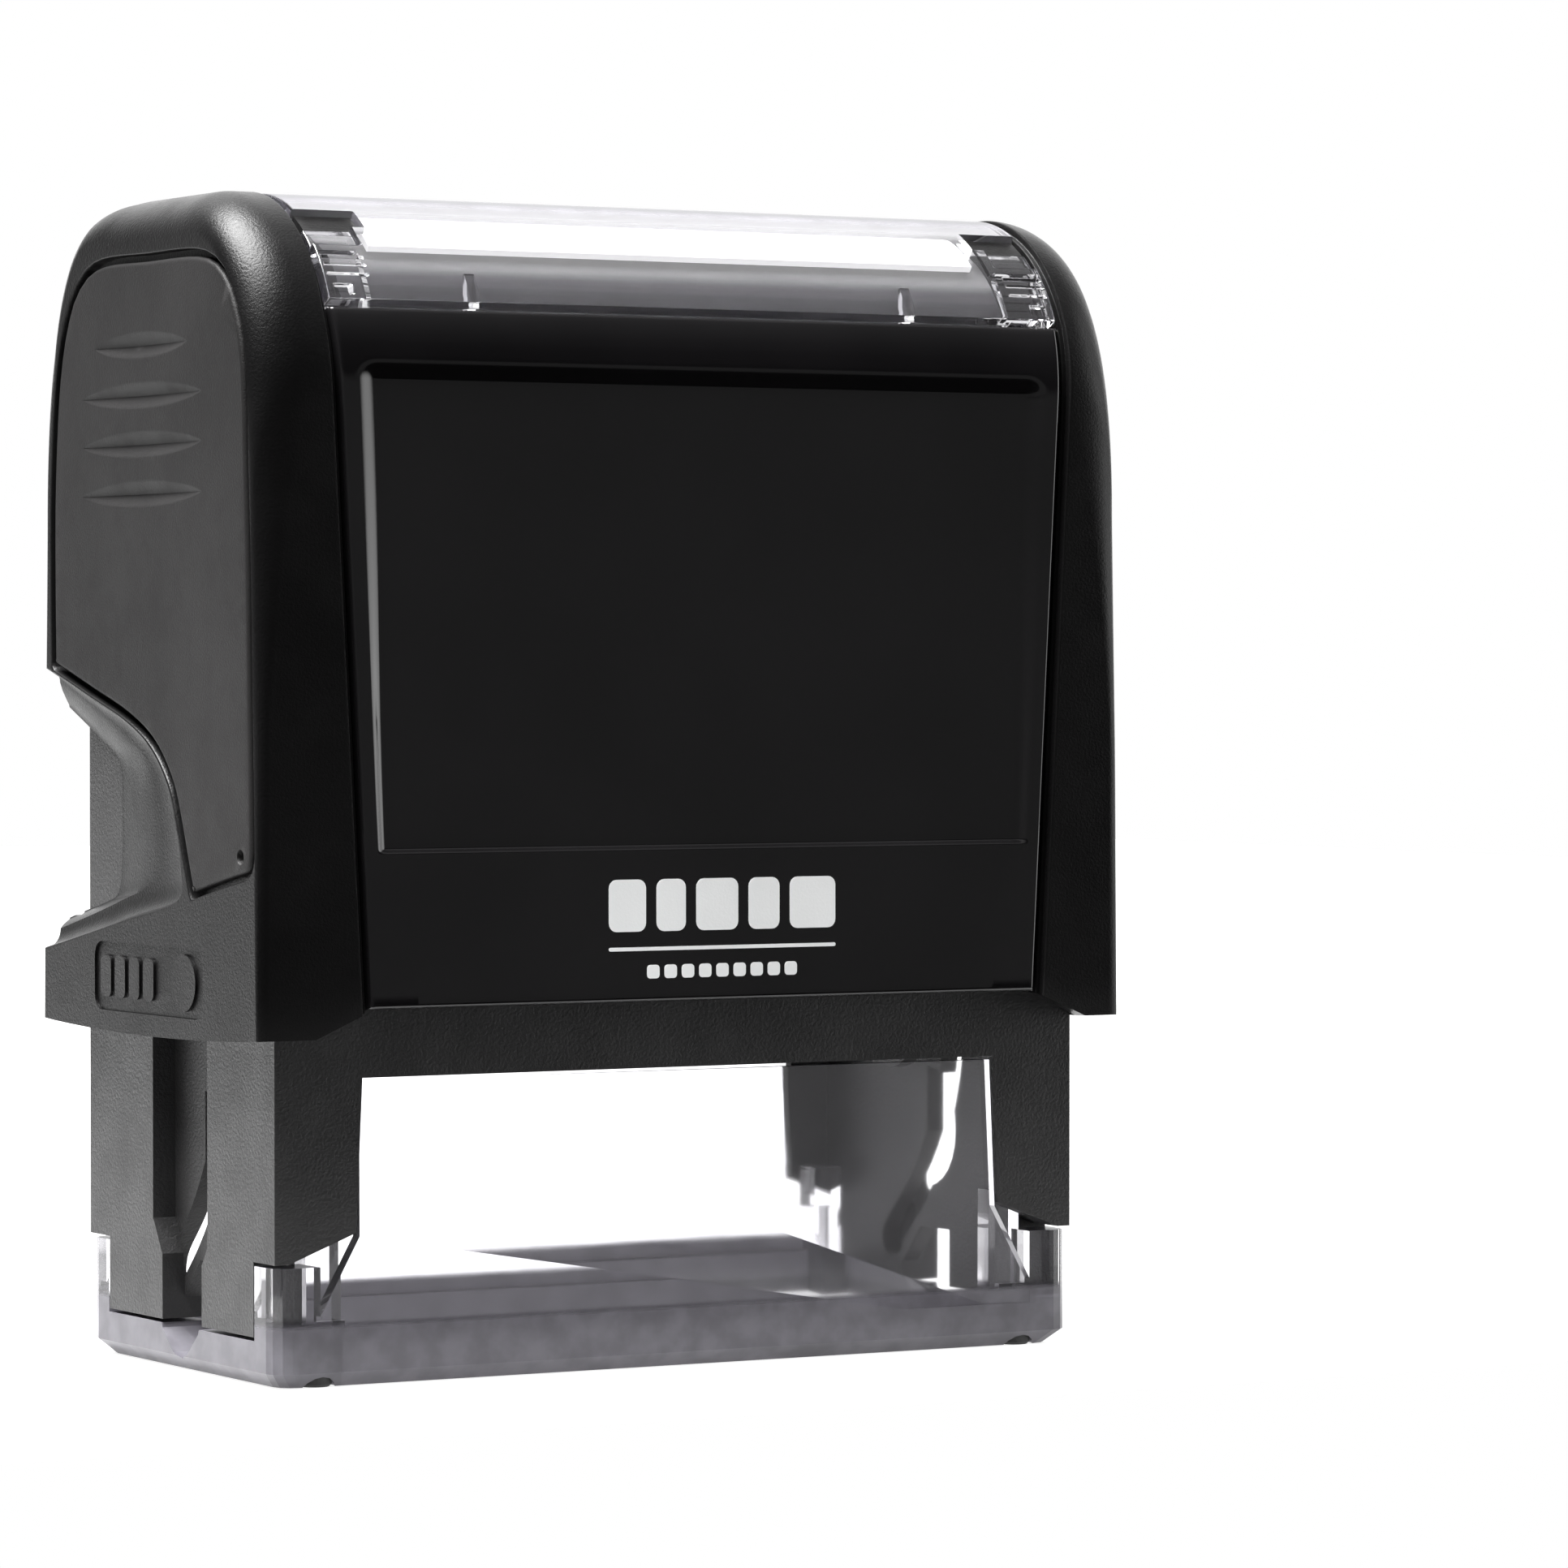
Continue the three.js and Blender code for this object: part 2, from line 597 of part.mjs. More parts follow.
class Helix extends THREE.Curve {
  constructor(radius, turns, z0, z1) {
    super();
    Object.assign(this, { radius, turns, z0, z1 });
  }

  getPoint(t, target = new THREE.Vector3()) {
    const angle = t * this.turns * Math.PI * 2;
    const z = this.z0 + (this.z1 - this.z0) * t;
    return target.set(this.radius * Math.cos(angle), this.radius * Math.sin(angle), z);
  }
}

function returnSpring(side) {
  const wire = 0.5;
  const turns = 8;
  const floor = BRIDGE_Z + BRIDGE_THICK;
  const path = new Helix(4, turns, floor + wire + GAP, YOKE_Z - wire - GAP);
  const section = new THREE.Shape();
  section.absarc(0, 0, wire, 0, Math.PI * 2);
  const geometry = new THREE.ExtrudeGeometry(section, {
    steps: turns * 12, extrudePath: path, curveSegments: 3,
  });
  geometry.translate(side * SPRING_X, 0, 0);
  return solid(geometry);
}

// ---------------------------------------------------------------- the assembly
const finishes = {
  blackPlastic: { color: 0x2b2a2b, roughness: 0.62, metalness: 0 },
  satinPlastic: { color: 0x222122, roughness: 0.45, metalness: 0 },
  glossPlastic: { color: 0x0c0b0c, roughness: 0.08, metalness: 0 },
  softGrip: { color: 0x3b3939, roughness: 0.85, metalness: 0 },
  clearPlastic: { color: 0xe8e6ee, roughness: 0.06, metalness: 0, transparent: true, opacity: 0.3 },
  card: { color: 0xf4f4f2, roughness: 0.7, metalness: 0 },
  rubber: { color: 0x1b1a1a, roughness: 0.9, metalness: 0 },
  dieRubber: { color: 0x8a8580, roughness: 0.8, metalness: 0 },
  foam: { color: 0xd9d4c8, roughness: 0.95, metalness: 0 },
  inkFelt: { color: 0x17161c, roughness: 1, metalness: 0 },
  springSteel: { color: 0xa7a9ac, roughness: 0.3, metalness: 1 },
};

const stamp = new THREE.Group();

function place(name, finish, made) {
  const mesh = made.getMesh();
  const geometry = new THREE.BufferGeometry();
  geometry.setAttribute('position', new THREE.BufferAttribute(mesh.vertProperties, mesh.numProp));
  geometry.setIndex(new THREE.BufferAttribute(mesh.triVerts, 1));
  geometry.computeVertexNormals();
  const node = new THREE.Mesh(geometry, new THREE.MeshStandardMaterial(finishes[finish]));
  node.name = name;
  stamp.add(node);
}

place('inner_frame', 'blackPlastic', innerFrame());
place('clear_foot', 'clearPlastic', clearFoot());
for (const [end, side] of [['left', -1], ['right', 1]]) {
  for (const [face, facing] of [['front', -1], ['back', 1]]) {
    place(`rubber_foot_${face}_${end}`, 'rubber', rubberFoot(side, facing));
  }
}

place('ink_tray', 'blackPlastic', inkTray());
place('ink_pad', 'inkFelt', inkPad());

place('die_carrier', 'blackPlastic', dieCarrier());
place('die_cushion', 'foam', dieCushion());
place('text_plate', 'dieRubber', textPlate());

for (const [end, side] of [['left', -1], ['right', 1]]) {
  place(`end_cap_${end}`, 'satinPlastic', endCap(side));
  place(`side_grip_${end}`, 'softGrip', sideGrip(side));
  place(`return_spring_${end}`, 'springSteel', returnSpring(side));
}
place('front_panel', 'glossPlastic', frontPanel());
place('back_panel', 'glossPlastic', backPanel());
place('rear_rail', 'satinPlastic', rearRail());
place('yoke', 'blackPlastic', yoke());
place('card_tray', 'blackPlastic', cardTray());
place('index_card', 'card', indexCard());
place('top_window', 'clearPlastic', topWindow());

export default stamp;
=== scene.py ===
import math

import bmesh
import bpy
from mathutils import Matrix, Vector
from mathutils.geometry import delaunay_2d_cdt


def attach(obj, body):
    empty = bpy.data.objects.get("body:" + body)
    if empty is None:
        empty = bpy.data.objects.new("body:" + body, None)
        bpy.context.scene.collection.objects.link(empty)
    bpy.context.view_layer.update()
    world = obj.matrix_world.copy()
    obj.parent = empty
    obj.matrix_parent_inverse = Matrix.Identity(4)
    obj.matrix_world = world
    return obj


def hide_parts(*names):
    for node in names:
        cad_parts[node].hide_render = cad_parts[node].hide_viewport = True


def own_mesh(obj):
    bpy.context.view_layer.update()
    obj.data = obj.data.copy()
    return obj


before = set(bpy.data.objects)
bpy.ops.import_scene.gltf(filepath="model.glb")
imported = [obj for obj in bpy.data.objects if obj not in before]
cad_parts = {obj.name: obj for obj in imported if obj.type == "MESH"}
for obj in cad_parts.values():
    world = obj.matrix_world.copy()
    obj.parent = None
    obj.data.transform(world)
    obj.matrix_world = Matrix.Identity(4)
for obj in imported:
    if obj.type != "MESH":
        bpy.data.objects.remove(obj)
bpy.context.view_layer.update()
scene = bpy.context.scene

# All lengths below are in millimetres and become metres when a mesh is made.
MM = 0.001

# ---------------------------------------------------------------- camera, light, floor
camera_data = bpy.data.cameras.new("camera")
camera_data.lens = 150.85
camera_data.sensor_width = 36
camera = bpy.data.objects.new("camera", camera_data)
scene.collection.objects.link(camera)
camera.location = (-0.26063, -0.48331, 0.05725)
YAW = math.radians(30.09)
PITCH = math.radians(1.06)
forward = Vector((math.cos(PITCH) * math.sin(YAW), math.cos(PITCH) * math.cos(YAW), -math.sin(PITCH)))
camera.rotation_mode = "QUATERNION"
camera.rotation_quaternion = forward.to_track_quat("-Z", "Y")
scene.camera = camera
scene.view_settings.view_transform = "Standard"


class Nodes:
    """Short calls for building a node tree."""

    def __init__(self, tree):
        self.tree = tree
        tree.nodes.clear()

    def add(self, kind, inputs=None, **settings):
        """A node of a kind, with its inputs linked or set."""
        node = self.tree.nodes.new(kind)
        for key, value in settings.items():
            setattr(node, key, value)
        for key, value in (inputs or {}).items():
            if isinstance(value, bpy.types.NodeSocket):
                self.tree.links.new(value, node.inputs[key])
            else:
                node.inputs[key].default_value = value
        return node

    def math(self, operation, a, b=0.0, clamp=False):
        return self.add("ShaderNodeMath", {0: a, 1: b}, operation=operation, use_clamp=clamp).outputs[0]

    def ramp(self, value, low, high, to_low=0.0, to_high=1.0):
        inputs = {"Value": value, 1: low, 2: high, 3: to_low, 4: to_high}
        return self.add("ShaderNodeMapRange", inputs, clamp=True, interpolation_type="SMOOTHSTEP").outputs[0]

    def noise(self, scale, detail=2.0, roughness=0.5):
        inputs = {"Scale": scale, "Detail": detail, "Roughness": roughness, "Vector": self.place()}
        return self.add("ShaderNodeTexNoise", inputs).outputs[0]

    def place(self):
        return self.add("ShaderNodeTexCoord").outputs["Object"]

    def height(self):
        return self.add("ShaderNodeSeparateXYZ", {0: self.place()}).outputs[2]

    def mix(self, share, a, b):
        """A colour between a and b."""
        return self.add("ShaderNodeMix", {0: share, 6: a, 7: b}, data_type="RGBA").outputs[2]

    def bump(self, strength, distance, height):
        inputs = {"Strength": strength, "Distance": distance, "Height": height}
        return self.add("ShaderNodeBump", inputs).outputs[0]

    def principled(self, inputs):
        return self.add("ShaderNodeBsdfPrincipled", inputs).outputs[0]


def new_material(name):
    """A material and the empty node tree that goes with it."""
    material = bpy.data.materials.new(name)
    material.use_nodes = True
    return material, Nodes(material.node_tree)


def world_light():
    """Soft cards all round the object, and plain white wherever the backdrop itself is seen."""
    world = bpy.data.worlds.new("studio")
    scene.world = world
    world.use_nodes = True
    n = Nodes(world.node_tree)
    direction = n.add("ShaderNodeTexCoord").outputs["Generated"]
    x, y, z = n.add("ShaderNodeSeparateXYZ", {0: direction}).outputs
    behind = n.math("MULTIPLY", n.ramp(y, 0.0, 0.6), n.ramp(x, -0.4, 0.1, 0.07, 1.9))
    left = n.ramp(x, -0.3, -0.95, 0.0, 0.07)
    right = n.math("MULTIPLY", n.ramp(x, 0.74, 0.9, 0.0, 3.2), n.ramp(y, 0.1, -0.1))
    above = n.ramp(z, 0.35, 0.95, 0.0, 0.45)
    level = n.math("MAXIMUM", n.math("MAXIMUM", behind, left), n.math("MAXIMUM", above, right))
    front = n.math("MULTIPLY", n.ramp(y, -0.5, -0.75, 0.0, 0.19), n.ramp(n.math("ABSOLUTE", z), 0.17, 0.07))
    level = n.math("ADD", n.math("ADD", level, front), 0.008)
    soft = n.add("ShaderNodeBackground", {"Color": (1, 1, 1, 1), "Strength": level})
    white = n.add("ShaderNodeBackground", {"Color": (1, 1, 1, 1), "Strength": 1.0})
    path = n.add("ShaderNodeLightPath").outputs
    seen = n.math("MAXIMUM", path["Is Camera Ray"], path["Is Transmission Ray"])
    mixed = n.add("ShaderNodeMixShader", {0: seen, 1: soft.outputs[0], 2: white.outputs[0]})
    n.add("ShaderNodeOutputWorld", {0: mixed.outputs[0]})


def area_light(name, place, target, size, power):
    data = bpy.data.lights.new(name, "AREA")
    data.shape = "RECTANGLE"
    data.size, data.size_y = size
    data.energy = power
    light = bpy.data.objects.new(name, data)
    scene.collection.objects.link(light)
    light.location = place
    light.rotation_mode = "QUATERNION"
    light.rotation_quaternion = (Vector(target) - Vector(place)).to_track_quat("-Z", "Y")


def floor():
    mesh = bpy.data.meshes.new("floor")
    corners = [(-0.9, -0.05, 0), (0.9, -0.05, 0), (0.9, 1.4, 0), (-0.9, 1.4, 0)]
    mesh.from_pydata(corners, [], [(0, 1, 2, 3)])
    plane = bpy.data.objects.new("floor", mesh)
    scene.collection.objects.link(plane)
    material, n = new_material("pale_floor")
    grey = n.mix(n.noise(9.0), (0.2, 0.2, 0.2, 1), (0.22, 0.22, 0.22, 1))
    shader = n.principled({
        "Base Color": grey, "Roughness": 0.6, "Emission Color": (1, 1, 1, 1), "Emission Strength": 0.86,
    })
    n.add("ShaderNodeOutputMaterial", {0: shader})
    mesh.materials.append(material)


world_light()
floor()
area_light("top", (-0.27, 0.05, 0.81), (0, 0, 0.07), (0.6, 0.45), 55)


# ---------------------------------------------------------------- materials
def plastic(name, colour, roughness, grain, grain_size, specular=0.5):
    """Moulded plastic: fine spark-eroded grain, slow colour drift, rubbed edges."""
    material, n = new_material(name)
    drift = n.noise(55.0, 3.0)
    speck = n.noise(1000 / grain_size, 3.0, 0.6)
    dark = tuple(c * 0.82 for c in colour) + (1,)
    light = tuple(min(c * 1.22, 1) for c in colour) + (1,)
    base = n.mix(n.ramp(drift, 0.3, 0.7), dark, light)
    edge = n.ramp(n.add("ShaderNodeNewGeometry").outputs["Pointiness"], 0.52, 0.6)
    worn = tuple(min(c * 1.9 + 0.006, 1) for c in colour) + (1,)
    base = n.mix(n.math("MULTIPLY", edge, 0.6), base, worn)
    rub = n.ramp(n.noise(160.0, 4.0, 0.65), 0.35, 0.75, roughness * 0.9, min(roughness * 1.15, 1))
    rough = n.math("ADD", rub, n.math("MULTIPLY", n.math("SUBTRACT", speck, 0.5), grain * 0.3), True)
    height = n.math("ADD", speck, n.math("MULTIPLY", n.noise(260.0, 2.0), 0.15))
    bump = n.bump(grain, 0.1 * MM, height)
    shader = n.principled({
        "Base Color": base, "Roughness": rough, "Normal": bump, "Specular IOR Level": specular,
    })
    n.add("ShaderNodeOutputMaterial", {0: shader})
    return material


def clear(name, tint, haze, roughness, frosted_below=-1.0):
    """Clear moulding: refracting, grey at its edges, hazy, and frosted below a height; the grey band on its
    crest is painted shade.
    """
    material, n = new_material(name)
    height = n.height()
    frost = n.ramp(height, frosted_below * MM, (frosted_below - 0.6) * MM)
    # Painted shade: a grey band near the top of the arch, where the window is seen at a glance.
    painted_crest_shade = n.ramp(height, 93.6 * MM, 94.6 * MM)
    flow = n.ramp(n.noise(70.0, 3.0, 0.5), 0.3, 0.75, roughness * 0.5, roughness * 1.6)
    glass = n.principled({
        "Base Color": n.mix(frost, tint, (0.2, 0.19, 0.22, 1)),
        "Roughness": n.math("ADD", flow, n.math("MULTIPLY", frost, 0.12)),
        "IOR": 1.47, "Transmission Weight": 1.0, "Normal": n.bump(0.12, 0.1 * MM, n.noise(140.0, 2.0, 0.5)),
    })
    milk = n.mix(n.ramp(n.noise(400.0, 3.0), 0.3, 0.7), (0.09, 0.085, 0.1, 1), (0.14, 0.134, 0.155, 1))
    # The crest's painted shade: darker milk, mixed in more strongly there.
    milk = n.principled({"Base Color": n.mix(painted_crest_shade, milk, (0.03, 0.03, 0.033, 1)), "Roughness": 0.35})
    grazing = n.ramp(n.add("ShaderNodeLayerWeight", {"Blend": 0.5}).outputs["Facing"], 0.6, 0.95, 0.0, 0.75)
    share = n.ramp(n.noise(45.0, 4.0, 0.6), 0.3, 0.8, haze * 0.6, haze * 1.5)
    share = n.math("ADD", share, n.math("MULTIPLY", painted_crest_shade, 0.45))
    share = n.math("ADD", share, n.math("ADD", grazing, n.math("MULTIPLY", frost, 0.55)), True)
    mixed = n.add("ShaderNodeMixShader", {0: share, 1: glass, 2: milk})
    n.add("ShaderNodeOutputMaterial", {0: mixed.outputs[0]})
    return material


def fibrous(name, colour, spread, size, bump_depth, painted_glow=0.0):
    """Felt, foam or card: a matt surface broken by fine fibres or cells. Its glow is painted light: an
    emission in the surface's own colour that makes it look more brightly lit than the lamps make it.
    """
    material, n = new_material(name)
    cells = n.noise(1000 / size, 5.0, 0.7)
    patches = n.noise(60.0, 3.0)
    dark = tuple(c * (1 - spread) for c in colour) + (1,)
    light = tuple(min(c * (1 + spread), 1) for c in colour) + (1,)
    share = n.math("ADD", n.math("MULTIPLY", cells, 0.6), n.math("MULTIPLY", patches, 0.4))
    base = n.mix(n.ramp(share, 0.3, 0.7), dark, light)
    shader = n.principled({
        "Base Color": base, "Roughness": n.ramp(cells, 0.2, 0.8, 0.75, 1.0),
        # The emission is painted light, not a lamp.
        "Normal": n.bump(0.8, bump_depth * MM, cells), "Emission Color": base, "Emission Strength": painted_glow,
    })
    n.add("ShaderNodeOutputMaterial", {0: shader})
    return material


def tray_plastic(name):
    """Pale grey moulding under the window, dark along its lower edge."""
    material, n = new_material(name)
    height = n.height()
    pale = n.mix(n.noise(120.0, 3.0), (0.24, 0.24, 0.24, 1), (0.31, 0.31, 0.3, 1))
    middle = n.mix(n.ramp(height, 87.6 * MM, 88.9 * MM), (0.03, 0.029, 0.032, 1), pale)
    base = n.mix(n.ramp(height, 86.8 * MM, 87.1 * MM), (0.008, 0.0075, 0.0095, 1), middle)
    shader = n.principled({
        "Base Color": base, "Roughness": n.ramp(n.noise(300.0), 0.2, 0.8, 0.4, 0.55),
        "Normal": n.bump(0.3, 0.04 * MM, n.noise(2500.0, 2.0)),
    })
    n.add("ShaderNodeOutputMaterial", {0: shader})
    return material


def steel(name):
    """Drawn spring wire."""
    material, n = new_material(name)
    drawn = n.noise(900.0, 4.0, 0.7)
    base = n.mix(n.ramp(drawn, 0.3, 0.7), (0.34, 0.35, 0.36, 1), (0.52, 0.53, 0.54, 1))
    shader = n.principled({
        "Base Color": base, "Metallic": 1.0, "Roughness": n.ramp(drawn, 0.2, 0.8, 0.22, 0.42),
        "Normal": n.bump(0.3, 0.03 * MM, drawn),
    })
    n.add("ShaderNodeOutputMaterial", {0: shader})
    return material


FRAME_PLASTIC = plastic("frame_plastic", (0.007, 0.0068, 0.007), 0.42, 0.6, 0.28, specular=0.42)
CAP_PLASTIC = plastic("cap_plastic", (0.0035, 0.0034, 0.0035), 0.34, 0.4, 0.22, specular=0.12)
GLOSS_PLASTIC = plastic("gloss_plastic", (0.0045, 0.0042, 0.0046), 0.07, 0.03, 0.6)
SOFT_GRIP = plastic("soft_grip", (0.009, 0.0086, 0.0087), 0.5, 0.5, 0.16, specular=0.12)
FOOT_RUBBER = plastic("foot_rubber", (0.02, 0.02, 0.02), 0.75, 0.5, 0.3)
PRINT = plastic("white_print", (0.58, 0.6, 0.6), 0.45, 0.15, 0.2)
CLEAR_FOOT = clear("clear_plastic_foot", (0.9, 0.895, 0.915, 1), 0.06, 0.05, 5.2)
CLEAR_WINDOW = clear("clear_plastic_window", (0.95, 0.945, 0.97, 1), 0.03, 0.03)
TRAY_PLASTIC = tray_plastic("tray_plastic")
DIE_RUBBER = fibrous("die_rubber", (0.2, 0.185, 0.17), 0.25, 0.25, 0.02)
FOAM = fibrous("foam", (0.62, 0.58, 0.5), 0.15, 0.5, 0.12)
FELT = fibrous("ink_felt", (0.014, 0.013, 0.018), 0.5, 0.35, 0.15)
# The card's glow of 0.62 is painted light: it brightens the card as if it were lit more strongly.
CARD = fibrous("card", (0.84, 0.84, 0.83), 0.04, 0.3, 0.01, 0.62)
STEEL = steel("spring_steel")


# ---------------------------------------------------------------- outlines
def catmull(points, steps):
    """A smooth open run through points."""
    ends = [points[0], *points, points[-1]]
    run = []
    for i in range(1, len(ends) - 2):
        a, b, c, d = (Vector(p) for p in ends[i - 1:i + 3])
        for k in range(steps):
            t = k / steps
            run.append(0.5 * (2 * b + (c - a) * t + (2 * a - 5 * b + 4 * c - d) * t * t
                              + (3 * b - a - 3 * c + d) * t ** 3))
    run.append(Vector(points[-1]))
    return run


def length_of(run):
    return sum((b - a).length for a, b in zip(run, run[1:]))


def at_distance(run, distance):
    for a, b in zip(run, run[1:]):
        step = (b - a).length
        if distance <= step:
            return a.lerp(b, distance / step if step else 0)
        distance -= step
    return run[-1].copy()


def resample(run, count):
    total = length_of(run)
    return [at_distance(run, total * i / count) for i in range(count)]


def closed_outline(runs, radii, count):
    """Joins open runs into one closed outline of count evenly spaced points.

    Each joint is rounded by the radius that belongs to the run before it.
    """
    steps = 60
    parts = []
    for i, run in enumerate(runs):
        start, end = radii[i - 1], radii[i]
        middle = length_of(run) - start - end
        parts.append([at_distance(run, start + middle * k / steps) for k in range(steps + 1)])
    joined = []
    for i, part in enumerate(parts):
        joined += part
        corner = runs[i][-1]
        following = parts[(i + 1) % len(parts)][0]
        for k in range(1, 8):
            t = k / 8
            joined.append(part[-1] * (1 - t) ** 2 + corner * (2 * t * (1 - t)) + following * t * t)
    joined.append(joined[0])
    return resample(joined, count)


def offset(outline, distance):
    """A closed outline grown by distance, or shrunk where it is negative."""
    count = len(outline)
    area = sum(outline[i].x * outline[(i + 1) % count].y - outline[(i + 1) % count].x * outline[i].y
               for i in range(count))
    sign = 1 if area > 0 else -1
    grown = []
    for i, point in enumerate(outline):
        along = (outline[(i + 1) % count] - outline[i - 1]).normalized()
        grown.append(point + Vector((along.y, -along.x)) * (sign * distance))
    return grown


# ---------------------------------------------------------------- mesh helpers
def build(name, points, faces):
    """A mesh object from points in millimetres, without loose or double points."""
    mesh = bpy.data.meshes.new(name)
    mesh.from_pydata([(x * MM, y * MM, z * MM) for x, y, z in points], [], faces)
    clean = bmesh.new()
    clean.from_mesh(mesh)
    bmesh.ops.delete(clean, geom=[v for v in clean.verts if not v.link_faces], context="VERTS")
    bmesh.ops.remove_doubles(clean, verts=clean.verts, dist=2e-7)
    bmesh.ops.recalc_face_normals(clean, faces=clean.faces)
    clean.to_mesh(mesh)
    clean.free()
    made = bpy.data.objects.new(name, mesh)
    scene.collection.objects.link(made)
    return made


def loft_faces(rings, closed_ends=True):
    """Faces between rings of equally many points."""
    count = len(rings[0])
    faces = []
    for r in range(len(rings) - 1):
        for i in range(count):
            j = (i + 1) % count
            faces.append((r * count + i, r * count + j, (r + 1) * count + j, (r + 1) * count + i))
    if closed_ends:
        last = (len(rings) - 1) * count
        faces.append(tuple(range(count)))
        faces.append(tuple(range(last, last + count)))
    return faces


def loft(name, rings):
    return build(name, [p for ring in rings for p in ring], loft_faces(rings))


def loft_all(name, shapes):
    """Several closed lofts in one mesh."""
    points, faces = [], []
    for rings in shapes:
        start = len(points)
        points += [p for ring in rings for p in ring]
        faces += [tuple(start + i for i in face) for face in loft_faces(rings)]
    return build(name, points, faces)


def shell(name, face, back, kept=None):
    """A wall between two grids of points, over the cells that are kept."""
    tall, wide = len(face), len(face[0])
    under = tall * wide
    points = [p for grid in (face, back) for row in grid for p in row]
    cells = {(r, c) for r in range(tall - 1) for c in range(wide - 1) if kept is None or kept(r, c)}
    faces = []
    for r, c in sorted(cells):
        a = r * wide + c
        quad = (a, a + 1, a + wide + 1, a + wide)
        faces += [quad, tuple(i + under for i in quad)]
        around = ((r - 1, c), (r, c + 1), (r + 1, c), (r, c - 1))
        for k, beside in enumerate(around):
            if beside not in cells:
                i, j = quad[k], quad[(k + 1) % 4]
                faces.append((i, j, j + under, i + under))
    return build(name, points, faces)


def rounding(distance, radius):
    """How far a rounded edge falls away, at a distance from the edge."""
    if distance >= radius:
        return 0.0
    return radius - math.sqrt(max(0.0, radius ** 2 - (radius - distance) ** 2))


def rounded_box(x0, x1, z0, z1, radius):
    """A rectangle with rounded corners as points in two axes."""
    points = []
    for x, z, turn in ((x1, z1, 0), (x0, z1, 1), (x0, z0, 2), (x1, z0, 3)):
        cx = x + (radius if x == x0 else -radius)
        cz = z + (radius if z == z0 else -radius)
        for k in range(6):
            angle = math.pi / 2 * (turn + k / 5)
            points.append((cx + radius * math.cos(angle), cz + radius * math.sin(angle)))
    return points


def block(name, x0, x1, y0, y1, z0, z1):
    rings = [[(x, y0, z0), (x, y1, z0), (x, y1, z1), (x, y0, z1)] for x in (x0, x1)]
    return loft(name, rings)


def prism_x(name, outline, x0, x1):
    return loft(name, [[(x, y, z) for y, z in outline] for x in (x0, x1)])


def prism_y(name, outline, y0, y1):
    return loft(name, [[(x, y, z) for x, z in outline] for y in (y0, y1)])


def settle(made):
    """Turns an object's modifiers into its mesh."""
    graph = bpy.context.evaluated_depsgraph_get()
    mesh = bpy.data.meshes.new_from_object(made.evaluated_get(graph))
    old = made.data
    made.modifiers.clear()
    made.data = mesh
    bpy.data.meshes.remove(old)


def boolean(made, tools, operation="DIFFERENCE"):
    for tool in tools:
        step = made.modifiers.new("boolean", "BOOLEAN")
        step.operation = operation
        step.solver = "EXACT"
        step.object = tool
    settle(made)
    for tool in tools:
        mesh = tool.data
        bpy.data.objects.remove(tool)
        bpy.data.meshes.remove(mesh)
    return made


def smooth(made, angle):
    """Smooth shading that keeps the edges sharper than an angle."""
    made.data.shade_smooth()
    made.data.set_sharp_from_angle(angle=math.radians(angle))
    even = made.modifiers.new("normals", "WEIGHTED_NORMAL")
    even.keep_sharp = True


def soften(made, width):
    """Joins the faces that lie in one plane, then rounds the hard edges by width."""
    flat = made.modifiers.new("flat", "DECIMATE")
    flat.decimate_type = "DISSOLVE"
    flat.angle_limit = math.radians(1.5)
    bevel = made.modifiers.new("bevel", "BEVEL")
    bevel.width = width * MM
    bevel.segments = 2
    bevel.limit_method = "ANGLE"
    bevel.angle_limit = math.radians(38)
    bevel.harden_normals = True
    bevel.use_clamp_overlap = True


def finish(made, body, material, stands_for=(), angle=32):
    """Gives a piece its material and body, and hides the CAD nodes it stands for."""
    made.data.materials.clear()
    made.data.materials.append(material)
    smooth(made, angle)
    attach(made, body)
    if stands_for:
        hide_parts(*stands_for)
    return made


def hand(side):
    return "left" if side < 0 else "right"


def corner_name(side, facing):
    return f"{'front' if facing < 0 else 'back'}_{hand(side)}"


# ---------------------------------------------------------------- housing shape
CAP_X = 39.9
CAP_Y = 20.7
CAP_BOTTOM = 27.7
CAP_INNER_X = 37.4
FILLET = 4.4
PANEL_TOP = 85.3
PANEL_BOTTOM = 29.9
# The space between the caps reaches this much further to the right.
RIGHT_REACH = 1.7
# The housing's top corners are quarter ellipses round (ARCH_Y, ARCH_Z).
ARCH_Y = 6
ARCH_Z = 78.9
ARCH_WIDE = 14.7
ARCH_HIGH = 16
ARCH_STEPS = 30
# The flat side face is straight up to SIDE_Z and arched above it.
SIDE_Z = 66
WALL_STEPS = 14


def between_caps(z, side=-1):
    """How far the space between the end caps reaches to one side, at a height."""
    reach = RIGHT_REACH if side > 0 else 0.0
    if z > PANEL_TOP:
        return 33.2 + reach
    return 30.3 + reach + 2.9 * (z - PANEL_BOTTOM) / (PANEL_TOP - PANEL_BOTTOM)


def shoulder(y, z):
    """Pushes the arch outwards at the back, where it is fuller and has a crisper corner."""
    if z < 79:
        return y, z
    corner = 1.05
    turn = math.atan2(z - ARCH_Z, y - ARCH_Y)
    push = 1.25 * max(0.0, 1 - abs(turn - corner) / (0.4 if turn > corner else 0.9))
    return y + push * math.cos(turn), z + push * math.sin(turn)


def housing_arch(inset, low):
    """The housing's section in (Y, Z), back side first, from its lower edge over the top to the front."""
    back = [(CAP_Y - inset, low + (ARCH_Z - low) * i / WALL_STEPS) for i in range(WALL_STEPS)]
    for i in range(ARCH_STEPS + 1):
        angle = math.pi / 2 * i / ARCH_STEPS
        y = ARCH_Y + (ARCH_WIDE - inset) * math.cos(angle)
        back.append((y, ARCH_Z + (ARCH_HIGH - inset) * math.sin(angle)))
    return [shoulder(*place) for place in back] + [(-y, z) for y, z in reversed(back)]


